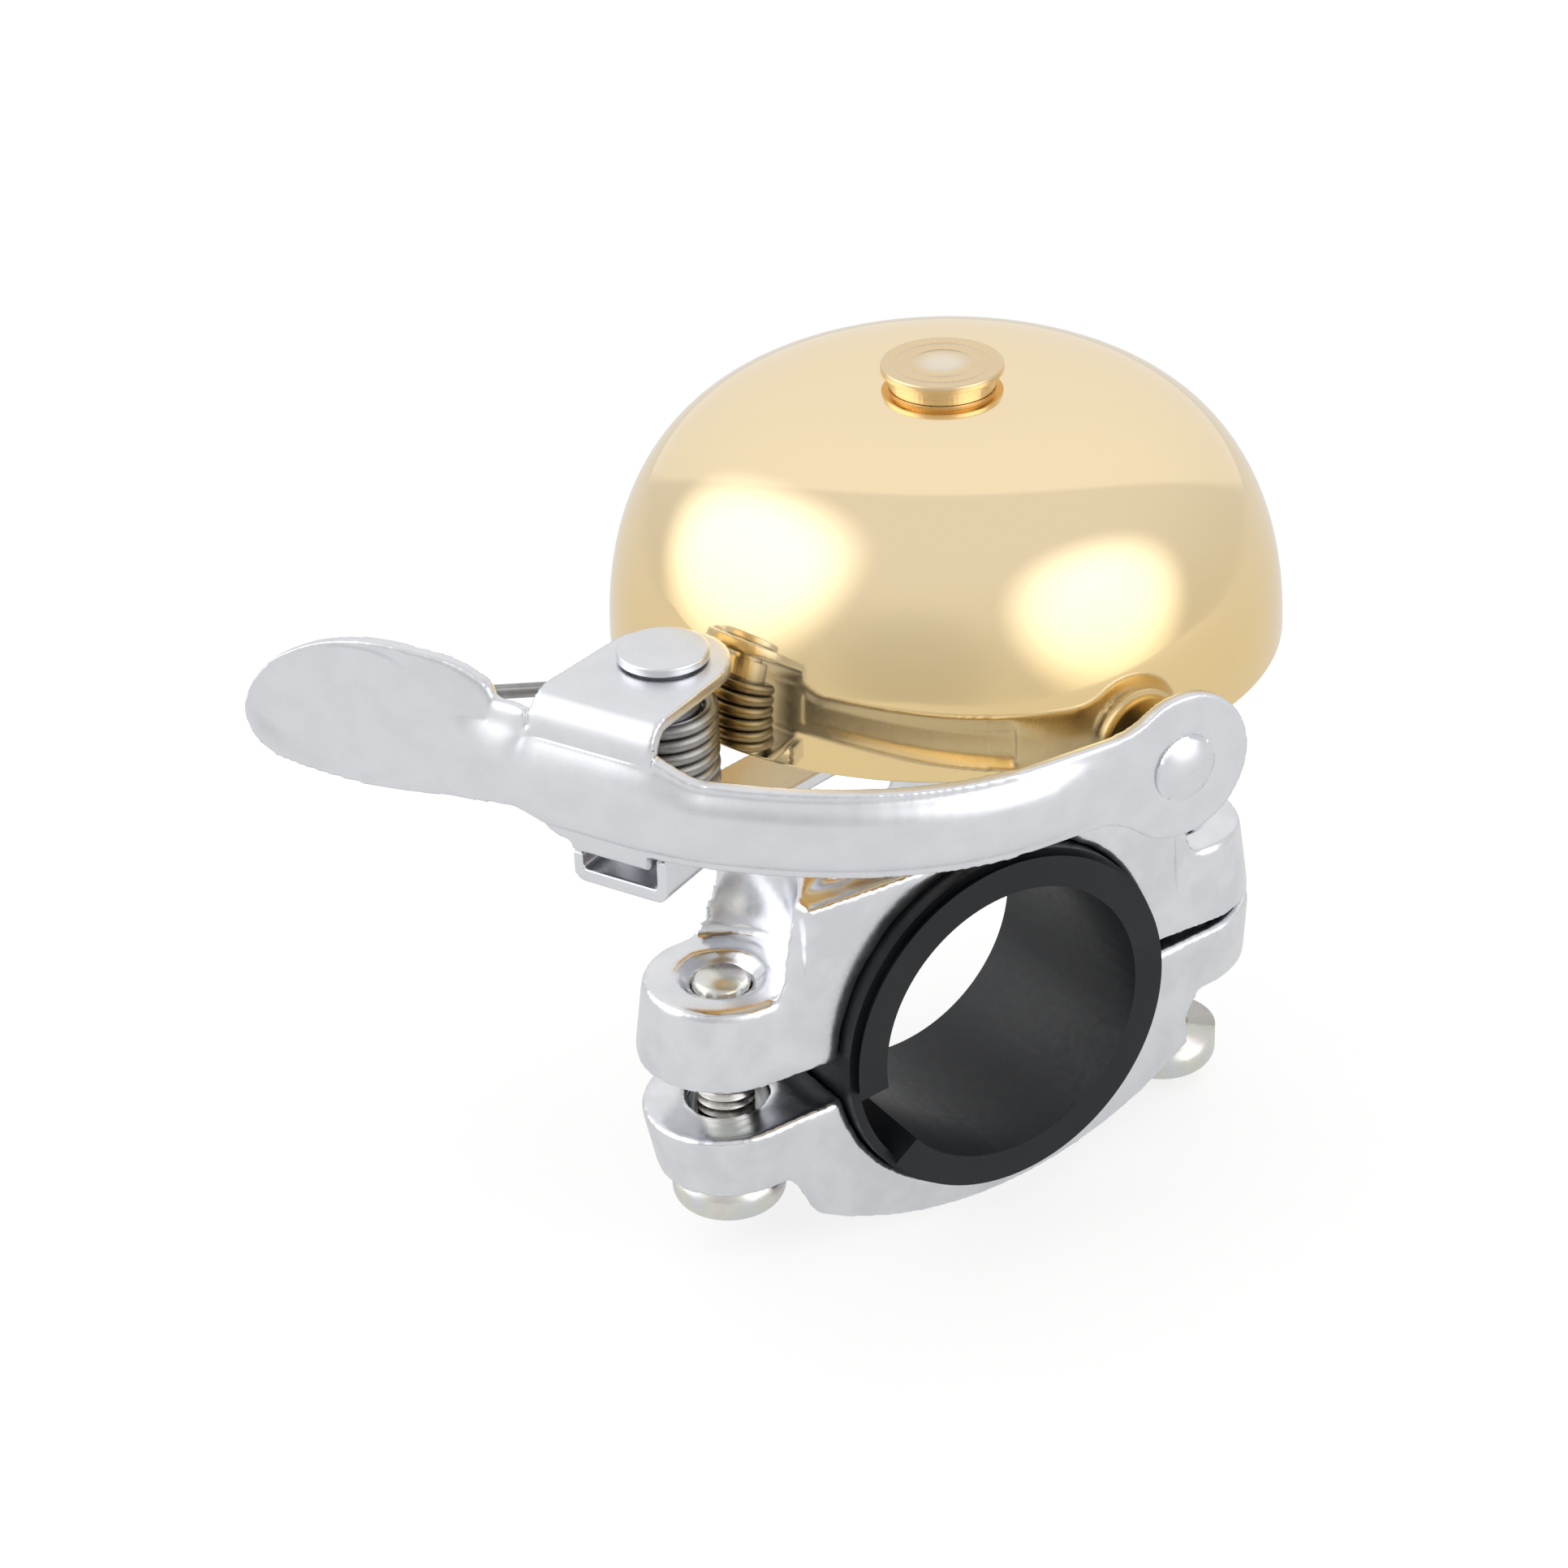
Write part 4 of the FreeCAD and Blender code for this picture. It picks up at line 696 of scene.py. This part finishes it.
def makeScrew(node, name, side, seat):
    # The solid's screw with thread grooves cut round its shaft.
    piece = copyOfNode(node, name)
    profile = [(screw["clear"], screw["start"]), (screw["crest"], screw["start"])]
    for turn in range(screw["turns"]):
        height = screw["start"] + turn * screw["pitch"]
        profile += [(screw["root"], height + screw["pitch"] * 0.5),
                    (screw["crest"], height + screw["pitch"])]
    profile.append((screw["clear"], profile[-1][1]))
    cutter = turnedPiece("threadCutter", profile, 48, closed=True)
    placePiece(cutter, (0, side * screw["reach"] * mm, seat * mm))
    grooves = piece.modifiers.new("thread", "BOOLEAN")
    grooves.operation = "DIFFERENCE"
    grooves.solver = "EXACT"
    grooves.object = cutter
    applyModifiers(piece)
    bpy.data.objects.remove(cutter, do_unlink=True)
    finishPiece(piece, zinc, "base", node, 35)


makeCap()
makePivotRivet()
makeScrew("clamp_screw_left", "leftScrew", -1, screw["leftSeat"])
makeScrew("clamp_screw_right", "rightScrew", 1, screw["rightSeat"])
print("fasteners done")


def makeSpring():
    # A welded copy of the spring, smooth-shaded in spring steel, with its place baked into its mesh.
    piece = copyOfNode("torsion_spring", "coilSpring")
    smoothShade(piece, 40)
    piece.data.materials.clear()
    piece.data.materials.append(springSteel)
    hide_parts("torsion_spring")
    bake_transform(piece)


makeSpring()
print("spring done")


stage = {"floorHeight": -18.6, "floorSize": 1.2, "floorSeen": 0.75, "floorMirrored": 0.50,
         "floorColor": (0.3, 0.3, 0.3), "aim": (0, 0, 0.03), "worldLight": 0.5,
         "horizon": 0.72, "overhead": 0.80}
# What the metal mirrors: a pale backdrop behind the object and a soft panel on each side.
# toward is a direction, full and none are the angles where a patch starts and ends to fade.
patches = {
    "backdrop": {"toward": (-0.725, 0.521, 0.448), "full": 44, "none": 47, "light": 0.14},
    "leftPanel": {"toward": (-0.433, -0.75, 0.5), "full": 15, "none": 44, "light": 1.1},
    "rightPanel": {"toward": (0.84, 0.39, 0.375), "full": 6, "none": 38, "light": 1.1},
    "cameraSide": {"toward": (0.696, -0.696, 0.174), "full": 4, "none": 34, "light": -0.1},
    "below": {"toward": (0, 0, -1), "full": 78, "none": 90, "light": 0.07}}


def makeFloor():
    deselectAll()
    bpy.ops.mesh.primitive_plane_add(size=stage["floorSize"], location=(0, 0, stage["floorHeight"] * mm))
    floor = bpy.context.object
    floor.name = "floor"
    material, tree, shader = newMaterial("paleFloor", color=stage["floorColor"], roughness=0.7,
                                         specular=0.0)
    path = addNode(tree, "ShaderNodeLightPath")
    seen = addNode(tree, "ShaderNodeMath", operation="MULTIPLY")
    seen.inputs[1].default_value = stage["floorSeen"]
    mirrored = addNode(tree, "ShaderNodeMath", operation="MULTIPLY_ADD")
    mirrored.inputs[1].default_value = stage["floorMirrored"]
    tree.links.new(path.outputs["Is Camera Ray"], seen.inputs[0])
    tree.links.new(path.outputs["Is Glossy Ray"], mirrored.inputs[0])
    tree.links.new(seen.outputs["Value"], mirrored.inputs[2])
    shader.inputs["Emission Color"].default_value = (1, 1, 1, 1)
    tree.links.new(mirrored.outputs["Value"], shader.inputs["Emission Strength"])
    floor.data.materials.append(material)


def makeWorld():
    # White for the eye, even for matt surfaces, and the studio's patches for reflections.
    world = bpy.data.worlds.new("studio")
    bpy.context.scene.world = world
    world.use_nodes = True
    tree = world.node_tree
    ground = tree.nodes["Background"]
    ground.inputs["Color"].default_value = (1, 1, 1, 1)
    path = addNode(tree, "ShaderNodeLightPath")
    where = addNode(tree, "ShaderNodeTexCoord")
    split = addNode(tree, "ShaderNodeSeparateXYZ")
    rise = addNode(tree, "ShaderNodeMapRange", interpolation_type="SMOOTHSTEP")
    rise.inputs["From Min"].default_value = 0.0
    rise.inputs["From Max"].default_value = 0.9
    rise.inputs["To Min"].default_value = stage["horizon"]
    rise.inputs["To Max"].default_value = stage["overhead"]
    tree.links.new(where.outputs["Generated"], split.inputs["Vector"])
    tree.links.new(split.outputs["Z"], rise.inputs["Value"])
    mirrored = rise.outputs["Result"]
    for name, patch in patches.items():
        facing = addNode(tree, "ShaderNodeVectorMath", operation="DOT_PRODUCT")
        facing.label = name
        facing.inputs[1].default_value = patch["toward"]
        tree.links.new(where.outputs["Generated"], facing.inputs[0])
        glow = addNode(tree, "ShaderNodeMapRange", interpolation_type="SMOOTHSTEP")
        glow.inputs["From Min"].default_value = math.cos(math.radians(patch["none"]))
        glow.inputs["From Max"].default_value = math.cos(math.radians(patch["full"]))
        glow.inputs["To Min"].default_value = 0.0
        glow.inputs["To Max"].default_value = patch["light"]
        tree.links.new(facing.outputs["Value"], glow.inputs["Value"])
        total = addNode(tree, "ShaderNodeMath", operation="ADD")
        tree.links.new(mirrored, total.inputs[0])
        tree.links.new(glow.outputs["Result"], total.inputs[1])
        mirrored = total.outputs["Value"]
    glossy = addNode(tree, "ShaderNodeMix", data_type="FLOAT")
    glossy.inputs["A"].default_value = stage["worldLight"]
    tree.links.new(path.outputs["Is Glossy Ray"], glossy.inputs["Factor"])
    tree.links.new(mirrored, glossy.inputs["B"])
    power = addNode(tree, "ShaderNodeMix", data_type="FLOAT")
    power.inputs["B"].default_value = 1.0
    tree.links.new(path.outputs["Is Camera Ray"], power.inputs["Factor"])
    tree.links.new(glossy.outputs["Result"], power.inputs["A"])
    tree.links.new(power.outputs["Result"], ground.inputs["Strength"])


# Broad, low-powered boxes, all aimed at a spot just under the dome.
softboxes = {
    "leftBox": {"spot": (0.05, -0.62, 0.33), "width": 0.9, "height": 0.5, "watts": 1.9},
    "rightBox": {"spot": (0.60, 0.42, 0.33), "width": 0.7, "height": 0.5, "watts": 1.6},
    "topBox": {"spot": (-0.1, 0.05, 1.0), "width": 1.6, "height": 1.6, "watts": 5}}


def addSoftbox(name, box):
    light = bpy.data.lights.new(name, "AREA")
    light.shape = "RECTANGLE"
    light.size = box["width"]
    light.size_y = box["height"]
    light.energy = box["watts"]
    lamp = bpy.data.objects.new(name, light)
    lamp.location = box["spot"]
    lamp.visible_glossy = False
    aim = Vector(stage["aim"]) - lamp.location
    lamp.rotation_euler = aim.to_track_quat("-Z", "Y").to_euler()
    bpy.context.scene.collection.objects.link(lamp)


view = {
    "spot": (0.265087, -0.176232, 0.200467),
    "right": (0.53128, 0.84669, -0.02915),
    "up": (-0.40615, 0.28475, 0.86831),
    "forward": (-0.74349, 0.44947, -0.49517),
    "lens": 100.36, "sensor": 36}


def makeCamera():
    data = bpy.data.cameras.new("view")
    data.lens = view["lens"]
    data.sensor_width = view["sensor"]
    data.clip_start = 0.01
    camera = bpy.data.objects.new("view", data)
    turn = Matrix((view["right"], view["up"], -Vector(view["forward"]))).transposed()
    camera.matrix_world = Matrix.Translation(view["spot"]) @ turn.to_4x4()
    bpy.context.scene.collection.objects.link(camera)
    bpy.context.scene.camera = camera


makeFloor()
makeWorld()
for name, box in softboxes.items():
    addSoftbox(name, box)
makeCamera()
bpy.context.scene.view_settings.view_transform = "Standard"
